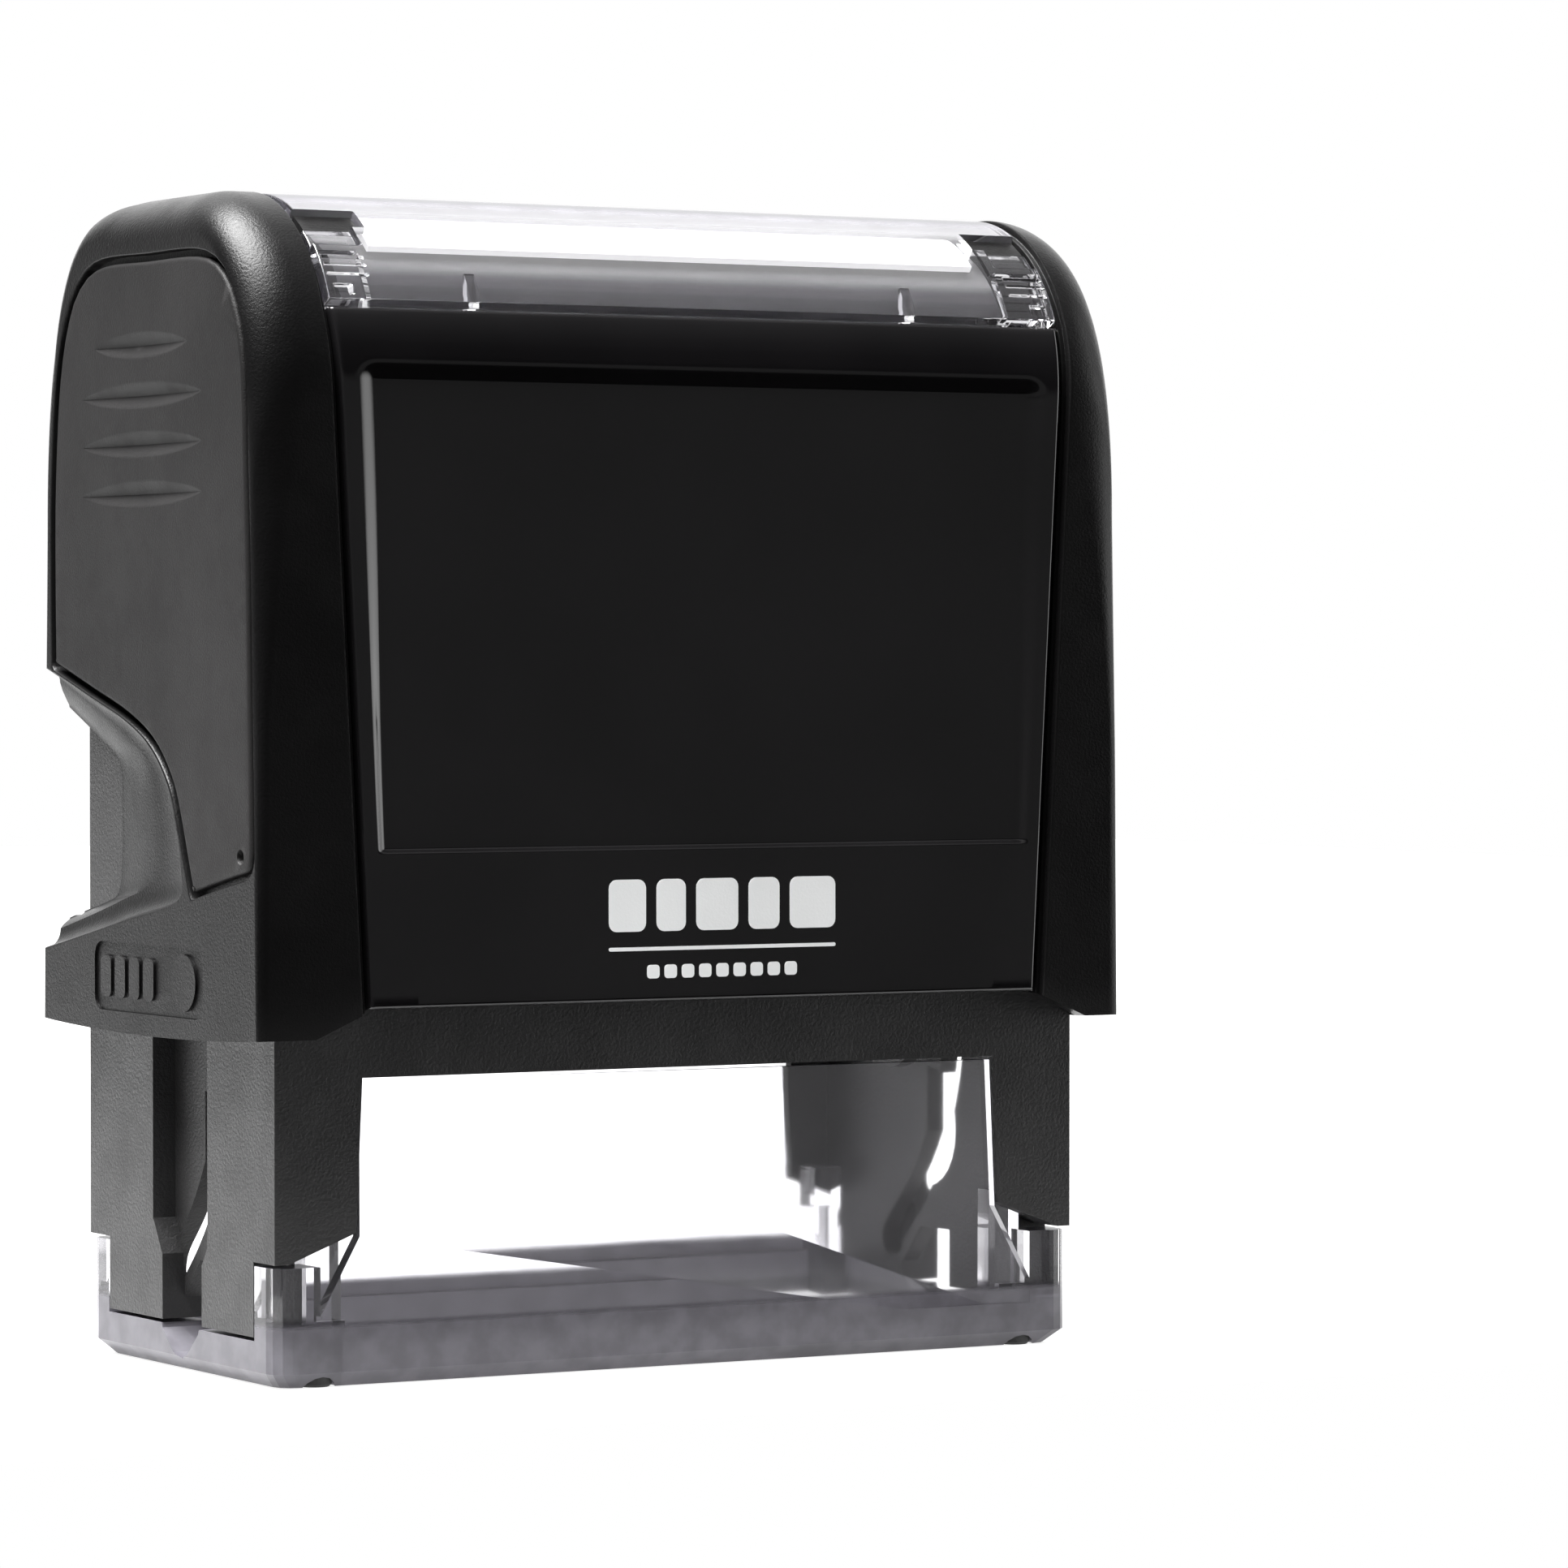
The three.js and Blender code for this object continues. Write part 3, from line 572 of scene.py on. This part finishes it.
def side_arch():
    """The flat side face's outline, with as many points as housing_arch."""
    back = [(20.3 - 0.8 * i / WALL_STEPS, CAP_BOTTOM + (SIDE_Z - CAP_BOTTOM) * i / WALL_STEPS)
            for i in range(WALL_STEPS)]
    for i in range(ARCH_STEPS + 1):
        angle = math.pi / 2 * i / ARCH_STEPS
        back.append((7 + 12.5 * math.cos(angle) ** 0.8, SIDE_Z + 25.2 * math.sin(angle) ** 0.8))
    return [shoulder(*place) for place in back] + [(-y, z) for y, z in reversed(back)]


def belly(y):
    """How far the lower edge of a side hangs down between its corners."""
    return 0.55 * (1 - (y / CAP_Y) ** 2)


# The finger scoop's outlines in (Y, Z), at its rim, on its bed and at the opening in it.
SCOOP_OUTER = [
    (24, 57.7), (18.8, 56.3), (11.3, 54.2), (4.1, 52.2), (-0.6, 50.1), (-3.7, 47.3),
    (-5.2, 44.3), (-6.2, 40.9), (-5.4, 38.3), (4.9, 36.4), (12, 35.1), (24, 33),
]
SCOOP_FLOOR = [
    (24, 56.6), (19.5, 55.2), (13.5, 53.2), (8, 51.2), (4.2, 49.4), (2.4, 47.2),
    (1.9, 44.6), (1.9, 41.4), (3.2, 39.2), (8, 37.9), (14, 36.5), (24, 34.4),
]
SCOOP_INNER = [
    (24, 54.9), (20, 53.3), (16.5, 51.9), (13.4, 50.6), (11.4, 49.8), (10.3, 48.6),
    (10.1, 46), (10.1, 41), (10.9, 38.3), (13.5, 37.4), (17, 36.7), (24, 35.2),
]


def scoop_rings():
    """The finger scoop's dish as (x, outline) rings, from outside to inside."""
    outer, bed, inner = (catmull(points, 8) for points in (SCOOP_OUTER, SCOOP_FLOOR, SCOOP_INNER))
    rings = []
    for x, grow in ((41.5, 0.3), (39.9, 0.3), (39.82, 0.12), (39.66, 0.03)):
        rings.append((x, offset(outer, grow)))
    for k in range(0, 9):
        turn = math.pi / 2 * k / 8
        share = 1 - math.cos(turn)
        rings.append((39.5 - 1.2 * math.sin(turn), [a.lerp(b, share) for a, b in zip(outer, bed)]))
    for share in (0.35, 0.7, 0.93):
        rings.append((38.3 - 0.9 * share ** 1.3, [a.lerp(b, share) for a, b in zip(bed, inner)]))
    for x, grow in ((37.45, -0.05), (37.2, -0.16), (36.9, -0.2), (35.1, -0.2)):
        rings.append((x, offset(inner, grow)))
    return rings


# The middle of the groove round the soft grip, in (Y, Z).
GROOVE = closed_outline(
    [
        catmull([(18.75, 56.75), (18.9, 64), (18.8, 71.8), (17.9, 80), (16.2, 85.2), (13.6, 88.4), (9.2, 90),
                 (0, 90.05), (-10, 89.9), (-14.5, 88.3), (-17.1, 85), (-18.5, 80.4), (-19, 72),
                 (-19.35, 64.6), (-19.7, 53), (-20, 40.5)], 8),
        catmull([(-20, 40.5), (-14, 39.5), (-8.3, 38.4)], 8),
        catmull([(-8.3, 38.4), (-7.3, 40.8), (-5.75, 44.7), (-4.15, 47.65), (-0.85, 50.55), (4, 52.65),
                 (11.2, 54.65), (18.75, 56.75)], 8),
    ],
    [1.9, 0.35, 0.5],
    420,
)


# The slanted edge towards the front panel, as (further out than the panel, inset).
RIM_STEPS = (
    (0, 1.0), (0, 0.62), (0.05, 0.55), (0.38, 0.55), (0.42, 0.5), (0.43, 0.14), (0.5, 0.03), (0.66, 0.001),
)


def badge_cutter(side):
    """The sunk badge low on the side: a plain pill with four bars and a disc left standing in it."""
    bars = [rounded_box(9.0 - 2.75 * i - 2.0, 9.0 - 2.75 * i, 30.0, 33.4, 0.6) for i in range(4)]
    turns = [math.tau * k / 40 for k in range(40)]
    bars.append([(-6.9 + 2.3 * math.cos(turn), 31.7 + 2.3 * math.sin(turn)) for turn in turns])
    badge = prism_x("badge", rounded_box(-10.6, 10.2, 28.9, 34.5, 1.3), side * 39.68, side * 41)
    raised = [[[(side * x, y, z) for y, z in line] for x in (39, 42)] for line in bars]
    return boolean(badge, [loft_all("raised", raised)])


def end_cap(side):
    """One end of the housing: a hollow cap with a slanted edge, a grip pocket and a finger scoop."""
    rim = housing_arch(0, CAP_BOTTOM)
    face = side_arch()
    count = len(rim)
    under = 22
    heights = [min(i / WALL_STEPS, 1.0) for i in range(count // 2)]
    heights += heights[::-1]
    reach = [1.0 + (FILLET - 1.0) * max(0.0, min(1.0, (h - 0.45) / 0.55)) ** 1.5 for h in heights]

    def ring(turn, start=None, inset=0.0):
        """One ring round the cap. start gives a ring on the slanted edge towards the front panel."""
        share = math.cos(turn)
        line = []
        shrunk = housing_arch(inset, CAP_BOTTOM + inset) if inset else rim
        for k in range(count):
            if start is not None:
                y, z = shrunk[k]
                line.append((side * (between_caps(z, side) + start), y, z))
                continue
            y = face[k][0] + (rim[k][0] - face[k][0]) * share
            z = face[k][1] + (rim[k][1] - face[k][1]) * share
            line.append((side * (CAP_X - reach[k] * (1 - math.sin(turn))), y, z))
        first, last = line[-1], line[0]
        for k in range(1, under):
            y = first[1] + (last[1] - first[1]) * k / under
            x = first[0] if start is not None else side * (CAP_X - 0.5 * (1 - math.sin(turn)))
            lower = belly(y) if start is None else 0.0
            line.append((x, y, first[2] - lower))
        return line

    rings = [ring(0, start=start, inset=inset) for start, inset in RIM_STEPS]
    rings += [ring(math.pi / 2 * k / 12) for k in range(13)]
    cap = loft(f"cap_{hand(side)}", rings)
    inner = side * 20
    hollow = prism_x("hollow", housing_arch(1.7, CAP_BOTTOM - 10), inner, side * CAP_INNER_X)
    room = block("room", inner, side * CAP_INNER_X, 0, 19.6, 20, 66.1)
    out = RIGHT_REACH if side > 0 else 0
    wedge = [(35.1 + out, 27.6), (30.3 + out, 29.7), (26, 29.7), (26, 20), (35.1 + out, 20)]
    wedge = [(side * x, z) for x, z in wedge]
    slot = block("slot", inner, side * 38.1, 17.7, 22, 36.2, 44.5)
    pocket = loft("pocket", [[(side * x, p.x, p.y) for p in offset(GROOVE, grow)]
                             for x, grow in ((41, 0.2), (39.9, 0.2), (39.84, 0.08), (39.7, 0), (38.9, 0))])
    scoop = loft("scoop", [[(side * x, p.x, p.y) for p in line] for x, line in scoop_rings()])
    badge = badge_cutter(side)
    boolean(cap, [hollow, room, prism_y("wedge", wedge, -30, 30), slot, scoop, pocket, badge])
    return finish(cap, "housing", CAP_PLASTIC, [f"end_cap_{hand(side)}"])


# ---------------------------------------------------------------- soft side grips
# Moulded grooves as (middle in Y, height, half length), and the pin hole's place in (Y, Z).
LENSES = [(1.15, 82.8, 8.85), (1.05, 78.75, 11.45), (1.05, 74.8, 11.45), (1.05, 70.8, 11.45)]
PIN_HOLE = (-17.5, 42)
PIN_HOLE_R = 0.62


def lens_half(along):
    """Half a groove's width, with along from -1 to 1 over its length."""
    return 1.05 * max(0.0, 1 - along * along) ** 0.75 + 0.02


def grip_depth(y, z):
    """Depth of the moulded grooves and the pin hole below the grip's face."""
    for middle, height, reach in LENSES:
        along = (y - middle) / reach
        if abs(along) < 1:
            across = abs(z - height) / lens_half(along)
            if across < 1:
                return 0.62 * (1 - along * along) ** 0.8 * (1 - across) ** 1.1
    hole = math.hypot(y - PIN_HOLE[0], z - PIN_HOLE[1])
    if hole < PIN_HOLE_R:
        return 0.45 * min(1.0, (PIN_HOLE_R - hole) / 0.18)
    return 0.0


def side_grip(side):
    """A soft pad with a rounded rim. Its face is meshed more finely round the grooves and the pin hole."""
    top = 39.86
    outline = offset(GROOVE, -0.55)
    rings = [(39.2, outline), (39.5, outline)]
    for k in range(1, 6):
        turn = math.pi / 2 * k / 5
        rings.append((39.5 + (top - 39.5) * math.sin(turn), offset(outline, -0.42 * (1 - math.cos(turn)))))
    points = [(side * x, p.x, p.y) for x, line in rings for p in line]
    count = len(outline)
    faces = loft_faces([line for _, line in rings], closed_ends=False)
    faces.append(tuple(range(count)))
    edge = rings[-1][1]
    inside = offset(edge, -0.35)
    seeds = [p.copy() for p in edge]
    loops = [(i, (i + 1) % count) for i in range(count)]
    for middle, height, reach in LENSES:
        for i in range(-46, 47):
            along = i / 45
            half = lens_half(along)
            for k in range(-10, 11):
                seeds.append(Vector((middle + along * reach, height + half * 1.02 * k / 9)))
    for ring in (0.15, 0.35, 0.44, PIN_HOLE_R, 0.75):
        for k in range(16):
            turn = math.tau * k / 16
            seeds.append(Vector((PIN_HOLE[0] + ring * math.cos(turn), PIN_HOLE[1] + ring * math.sin(turn))))
    for i in range(-13, 14):
        for k in range(25):
            place = Vector((i * 1.4, 41 + k * 2.0))
            if not 69.3 < place.y < 84.2 and inside_of(place, inside):
                seeds.append(place)
    flat = delaunay_2d_cdt(seeds, loops, [], 1, 1e-5)
    start = len(points)
    points += [(side * (top - grip_depth(p.x, p.y)), p.x, p.y) for p in flat[0]]
    faces += [tuple(start + i for i in face) for face in flat[2]]
    grip = build(f"soft_grip_{hand(side)}", points, faces)
    return finish(grip, "housing", SOFT_GRIP, [f"side_grip_{hand(side)}"], 60)


def inside_of(point, outline):
    """Whether a point lies inside a closed outline."""
    inside = False
    for i, a in enumerate(outline):
        b = outline[i - 1]
        if (a.y > point.y) != (b.y > point.y):
            if point.x < (b.x - a.x) * (point.y - a.y) / (b.y - a.y) + a.x:
                inside = not inside
    return inside


# ---------------------------------------------------------------- front and back panels
def arch_point(inset, along):
    """A point of the housing's front section, along = height on the straight part and arc above it."""
    if along <= ARCH_Z:
        return -(CAP_Y - inset), along
    angle = (along - ARCH_Z) / 15.4
    y = -(ARCH_Y + (ARCH_WIDE - inset) * math.cos(angle))
    return y, ARCH_Z + (ARCH_HIGH - inset) * math.sin(angle)


def smoothstep(value, low, high):
    t = max(0.0, min(1.0, (value - low) / (high - low)))
    return t * t * (3 - 2 * t)


def lines(marks):
    """Evenly spaced values between marks given as (value, spacing up to the next mark)."""
    values = []
    for (a, step), (b, _) in zip(marks, marks[1:]):
        count = max(1, round((b - a) / step))
        values += [a + (b - a) * i / count for i in range(count)]
    return values + [marks[-1][0]]


def field_depth(across, z, half):
    """Depth of the panel's sunk field, with across in millimetres from the middle."""
    if z < 41.6 or z > 82.6:
        return 0.0
    margin = 0.9 + 1.3 * smoothstep(z, 42, 81)
    side = half - 1.3 - abs(across)
    foot = z - 42.15
    head = 81.6 - z
    corner = 2.2
    if side < corner and head < corner:
        top = corner - math.hypot(corner - side, corner - head)
    else:
        top = min(side, head)
    inward = smoothstep(min(side, top), 0, margin)
    crown = smoothstep(head, 0, 2.1)
    step = smoothstep(foot, 0, 0.42)
    return 0.5 * inward * crown * step


def wall_between_caps(heights, shares, depth, back=False):
    """A grid of points between the end caps, as deep inside the housing as depth(x, height, half) says."""
    grid = []
    for h in heights:
        half = between_caps(h) + RIGHT_REACH / 2 - 0.28
        row = []
        for share in shares:
            y, z = arch_point(depth(share * half, h, half), h)
            row.append((share * half + RIGHT_REACH / 2, -y if back else y, z))
        grid.append(row)
    return grid


def front_panel():
    """The glossy front with its sunk field and rounded edges."""
    top = 85.32
    heights = lines([
        (PANEL_BOTTOM, 0.12), (30.3, 0.9), (41.6, 0.2), (42.0, 0.06), (42.8, 0.3), (44, 1.5), (77, 0.6),
        (79, 0.12), (82.6, 0.4), (84.9, 0.12), (top, 1),
    ])
    shares = lines([(-1, 0.006), (-0.975, 0.006), (-0.86, 0.04), (0.86, 0.006), (0.975, 0.006), (1, 1)])

    def depth(x, h, half):
        edge = min(half - abs(x), h - PANEL_BOTTOM, top - h)
        return 0.2 + field_depth(x, h, half) + rounding(edge, 0.4)

    face = wall_between_caps(heights, shares, depth)
    panel = shell("gloss_front", face, wall_between_caps(heights, shares, lambda x, h, half: 1.7))
    return finish(panel, "housing", GLOSS_PLASTIC, ["front_panel"], 50)


def back_plate(name, node, low, high, material):
    """A thin wall at the back between the end caps, with rounded edges."""
    heights = lines([(low, 0.1), (low + 0.4, 1.2), (high - 0.4, 0.1), (high, 1)])
    shares = lines([(-1, 0.004), (-0.985, 0.02), (-0.9, 0.15), (0.9, 0.02), (0.985, 0.004), (1, 1)])

    def depth(x, h, half):
        return 0.2 + rounding(min(half - abs(x), h - low, high - h), 0.35)

    face = wall_between_caps(heights, shares, depth, True)
    plate = shell(name, face, wall_between_caps(heights, shares, lambda x, h, half: 1.1, True))
    return finish(plate, "housing", material, [node], 50)


def printed_mark():
    """A plain block mark, a rule and a row of dashes printed on the front panel."""
    outlines = []
    left, right = -8.7, 12.4
    x = left
    for width in (3.4, 2.7, 3.9, 2.9, 4.3):
        outlines.append(rounded_box(x, x + width, 35.6, 39.8, 0.7))
        x += width + 0.97
    outlines.append(rounded_box(left, right, 34.05, 34.35, 0.14))
    for i in range(9):
        outlines.append(rounded_box(-5.2 + 1.6 * i, -4.05 + 1.6 * i, 31.8, 32.9, 0.3))
    layers = (-20.53, -20.45)
    mark = loft_all("printed_mark", [[[(x, y, z) for x, z in line] for y in layers] for line in outlines])
    return finish(mark, "housing", PRINT)


# ---------------------------------------------------------------- top window
# Angles on the arch, in degrees from the front: the window's lower edge and its notches.
WINDOW_LOW = 25.7
NOTCH = (54.2, 64.1)
WINDOW_END = 32.9
NOTCH_LONG = 5.4
WINDOW_WIDE = 14.6
WINDOW_HIGH = 15.9


def window_point(x, angle, inset):
    """A point of the arch. angle goes from 0 at the front over 90 at the top to 180 at the back."""
    turn = math.radians(min(angle, 180 - angle, 90))
    y = -(ARCH_Y + (WINDOW_WIDE - inset) * math.cos(turn))
    if angle > 90:
        y = -y
    return (x, y, ARCH_Z + (WINDOW_HIGH - inset) * math.sin(turn))


def window_edge(end, angle):
    """How far the window's rounded edges fall away."""
    return rounding(end, 0.18) + rounding(0.26 * (angle - WINDOW_LOW), 0.18)


def window_relief(end, angle):
    """Depth below the window's face, with end = distance from the nearer end."""
    angle = min(angle, 180 - angle)
    recess = smoothstep(angle, 45.8, 46.3) * smoothstep(56.0 - angle, 0, 1.2)
    depth = window_edge(end, angle) + 0.5 * smoothstep(4.25 - end, 0, 0.12) * recess
    if 0.35 < end < 4.0:
        for groove in (34.05, 37.6, 40.4):
            depth += 0.16 * max(0.0, 1 - ((angle - groove) / 0.7) ** 2)
    across = max(abs(end - 1.45) / 0.85, abs(angle - 29.1) / 1.9)
    return depth + 0.4 * smoothstep(1 - across, 0, 0.3)


def top_window():
    """The clear arch with its notches, end blocks and four inner clips."""
    front = lines([(WINDOW_LOW, 0.35), (46.3, 0.9), (NOTCH[0], 0.9), (NOTCH[1], 2.4), (88, 1)])
    angles = front + [90] + [180 - a for a in reversed(front)]
    left, right = -WINDOW_END, WINDOW_END + RIGHT_REACH
    fine = 6.4
    ends = lines([(0, 0.06), (0.24, 0.14), (NOTCH_LONG, 1.0), (fine, 1)])
    columns = [left + e for e in ends]
    columns += lines([(left + fine, 3), (right - fine, 3)])[1:-1] + [right - e for e in reversed(ends)]

    def face(x, angle):
        return window_point(x, angle, window_relief(min(x - left, right - x), angle))

    def inside(x, angle):
        end = min(x - left, right - x)
        low = min(angle, 180 - angle)
        thick = 1.3 + 0.85 * smoothstep(4.15 - end, 0, 0.1) * smoothstep(46 - low, 0, 0.8)
        return window_point(x, angle, thick - window_edge(end, low))

    def kept(r, c):
        angle = (angles[r] + angles[r + 1]) / 2
        x = (columns[c] + columns[c + 1]) / 2
        return not (NOTCH[0] < min(angle, 180 - angle) < NOTCH[1] and min(x - left, right - x) < NOTCH_LONG)

    window = shell("window_arch", [[face(x, a) for x in columns] for a in angles],
                   [[inside(x, a) for x in columns] for a in angles], kept)
    clips = []
    for x in (-19.9, 20.6):
        for turn in (1, -1):
            clip = []
            for angle, inset in ((27.5, 1.1), (38, 1.1), (38, 1.5), (33, 2.3), (27.5, 2.3)):
                _, y, z = window_point(0, angle, inset)
                clip.append((turn * y, z))
            clips.append(prism_x("clip", clip, x, x + 0.9))
    boolean(window, clips, "UNION")
    return finish(window, "top_cover", CLEAR_WINDOW, ["top_window"], 40)


def index_card():
    """A card curved under the window."""
    xs = lines([(-27.3, 1.5), (27.3 + RIGHT_REACH, 1)])
    angles = lines([(50.4, 1.2), (88, 1)])
    angles += [90] + [180 - a for a in reversed(angles)]
    face = [[window_point(x, a, 1.62) for x in xs] for a in angles]
    card = shell("index_card_sheet", face, [[window_point(x, a, 2.1) for x in xs] for a in angles])
    return finish(card, "housing", CARD, ["index_card"], 60)


def notch_block(side, facing):
    """The dark catch that fills one notch of the window."""
    reach = RIGHT_REACH if side > 0 else 0.0
    xs = [side * (x + reach) for x in lines([(27.7, 0.85), (32.7, 1)])]
    angles = lines([(NOTCH[0] + 0.5, 1.2), (NOTCH[1] - 0.5, 1)])
    if facing > 0:
        angles = [180 - a for a in reversed(angles)]
    face = [[window_point(x, a, 0.55) for x in xs] for a in angles]
    back = [[window_point(x, a, 1.4) for x in xs] for a in angles]
    catch = shell(f"catch_{corner_name(side, facing)}", face, back)
    return finish(catch, "top_cover", CAP_PLASTIC, angle=40)


# ---------------------------------------------------------------- soft pieces, springs and feet
FOOT_X = 32.6
FOOT_Y = 15.6
FOOT_R = 1.4
FOOT_DOME = 2.6
PLATE_X = 29
PLATE_Y = 11
SPRING_X = 19
SPRING_R = 4


def soft_slab(name, x, y, z0, z1, radius, swell):
    """A foam or felt block: rounded edges and uneven, slightly swollen faces."""
    xs = lines([(-x, 0.1), (-x + radius, 0.9), (x - radius, 0.1), (x, 1)])
    ys = lines([(-y, 0.1), (-y + radius, 0.9), (y - radius, 0.1), (y, 1)])

    def level(px, py, face):
        edge = min(x - abs(px), y - abs(py))
        wave = math.sin(px * 0.9 + 1.3 * face) * math.sin(py * 1.1 + px * 0.23)
        wave += 0.6 * math.sin(px * 2.3 - py * 1.9)
        inner = smoothstep(edge, 0, 3 * radius)
        return rounding(edge, radius) + swell * (1 - inner) + 0.3 * swell * inner * (0.5 + 0.3 * wave)

    top = [[(px, py, z1 - level(px, py, 1)) for px in xs] for py in ys]
    low = [[(px, py, z0 + level(px, py, 0)) for px in xs] for py in ys]
    return shell(name, top, low)


def relief_height(x, y):
    """Height of the stamping relief: a plain frame round four rows of bars."""
    raised = 0.62
    sides = min(PLATE_X - abs(x), PLATE_Y - abs(y))
    if 0.8 < sides < 1.7:
        return raised
    for row, (height, unit) in enumerate(((6.3, 5.2), (2.2, 3.6), (-1.9, 4.4), (-6.0, 3.1))):
        if abs(y - height) < 1.15 and abs(x) < 24 - 3.5 * (row % 2):
            if (x + 24 + 0.7 * row) % unit < unit - 0.9:
                return raised
    return 0.0


def text_plate():
    """The rubber die with its relief."""
    xs = [-PLATE_X + 2 * PLATE_X * i / 232 for i in range(233)]
    ys = [-PLATE_Y + 2 * PLATE_Y * i / 88 for i in range(89)]
    top = [[(x, y, 35.66 + relief_height(x, y)) for x in xs] for y in ys]
    low = [[(x, y, 35.02) for x in xs] for y in ys]
    plate = shell("rubber_die", top, low)
    return finish(plate, "die", DIE_RUBBER, ["text_plate"], 25)


def return_spring(side):
    """A compression spring with its end coils wound close."""
    turns, wire, low, high = 8, 0.5, 50.3, 83.2
    steps = turns * 30
    closed = 1.02
    centre = []
    for k in range(steps + 1):
        turn = turns * k / steps
        run = min(turn, closed) * 2 * wire + max(0.0, turn - turns + closed) * 2 * wire
        open_part = max(0.0, min(turn, turns - closed) - closed) / (turns - 2 * closed)
        z = low + run + open_part * (high - low - 4 * wire * closed)
        y = SPRING_R * math.sin(math.tau * turn)
        centre.append(Vector((side * SPRING_X + SPRING_R * math.cos(math.tau * turn), y, z)))
    around = [math.tau * i / 10 for i in range(10)]
    rings = []
    for k, place in enumerate(centre):
        along = (centre[min(k + 1, steps)] - centre[max(k - 1, 0)]).normalized()
        out = Vector((place.x - side * SPRING_X, place.y, 0)).normalized()
        up = along.cross(out)
        ring = [place + wire * (math.cos(angle) * out + math.sin(angle) * up) for angle in around]
        rings.append([tuple(p) for p in ring])
    name = hand(side)
    spring = finish(loft(f"coil_{name}", rings), "base", STEEL, [f"return_spring_{name}"], 50)
    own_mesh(spring)


def foot_pad(side, facing):
    """A rubber peg with a domed upper end."""
    profile = [(0.01, 0), (FOOT_R - 0.2, 0), (FOOT_R, 0.2), (FOOT_R, 1.5), (FOOT_R, FOOT_DOME)]
    for k in range(1, 8):
        turn = math.pi / 2 * k / 7
        profile.append((max(0.01, FOOT_R * math.cos(turn)), FOOT_DOME + 1.4 * math.sin(turn)))
    around = [math.tau * i / 40 for i in range(40)]
    x, y = side * FOOT_X, facing * FOOT_Y
    rings = [[(x + r * math.cos(turn), y + r * math.sin(turn), z) for turn in around] for r, z in profile]
    name = corner_name(side, facing)
    pad = loft(f"foot_pad_{name}", rings)
    finish(pad, "base", FOOT_RUBBER, [f"rubber_foot_{name}"], 40)


for side in (-1, 1):
    end_cap(side)
    side_grip(side)
    for facing in (-1, 1):
        notch_block(side, facing)
front_panel()
back_plate("gloss_back", "back_panel", 44.5, PANEL_TOP, GLOSS_PLASTIC)
back_plate("back_rail", "rear_rail", 28.5, 36.2, CAP_PLASTIC)
printed_mark()
top_window()
index_card()
pad = soft_slab("felt_pad", 29.7, 12.2, 37.42, 40.7, 0.7, 0.12)
finish(pad, "cartridge", FELT, ["ink_pad"], 60)
cushion = soft_slab("foam_cushion", PLATE_X, PLATE_Y, 33.7, 34.7, 0.3, 0.05)
finish(cushion, "die", FOAM, ["die_cushion"], 60)
text_plate()
for side in (-1, 1):
    return_spring(side)
    for facing in (-1, 1):
        foot_pad(side, facing)

# ---------------------------------------------------------------- carried-over CAD nodes
# The CAD nodes that are shown themselves, as (material, width of the rounded edges).
CARRIED = {
    "inner_frame": (FRAME_PLASTIC, 0.25),
    "yoke": (FRAME_PLASTIC, 0.2),
    "die_carrier": (FRAME_PLASTIC, 0.2),
    "ink_tray": (FRAME_PLASTIC, 0.1),
    "card_tray": (TRAY_PLASTIC, 0.1),
    "clear_foot": (CLEAR_FOOT, 0.2),
}
for name, (material, width) in CARRIED.items():
    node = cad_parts[name]
    node.data.materials.clear()
    node.data.materials.append(material)
    soften(node, width)
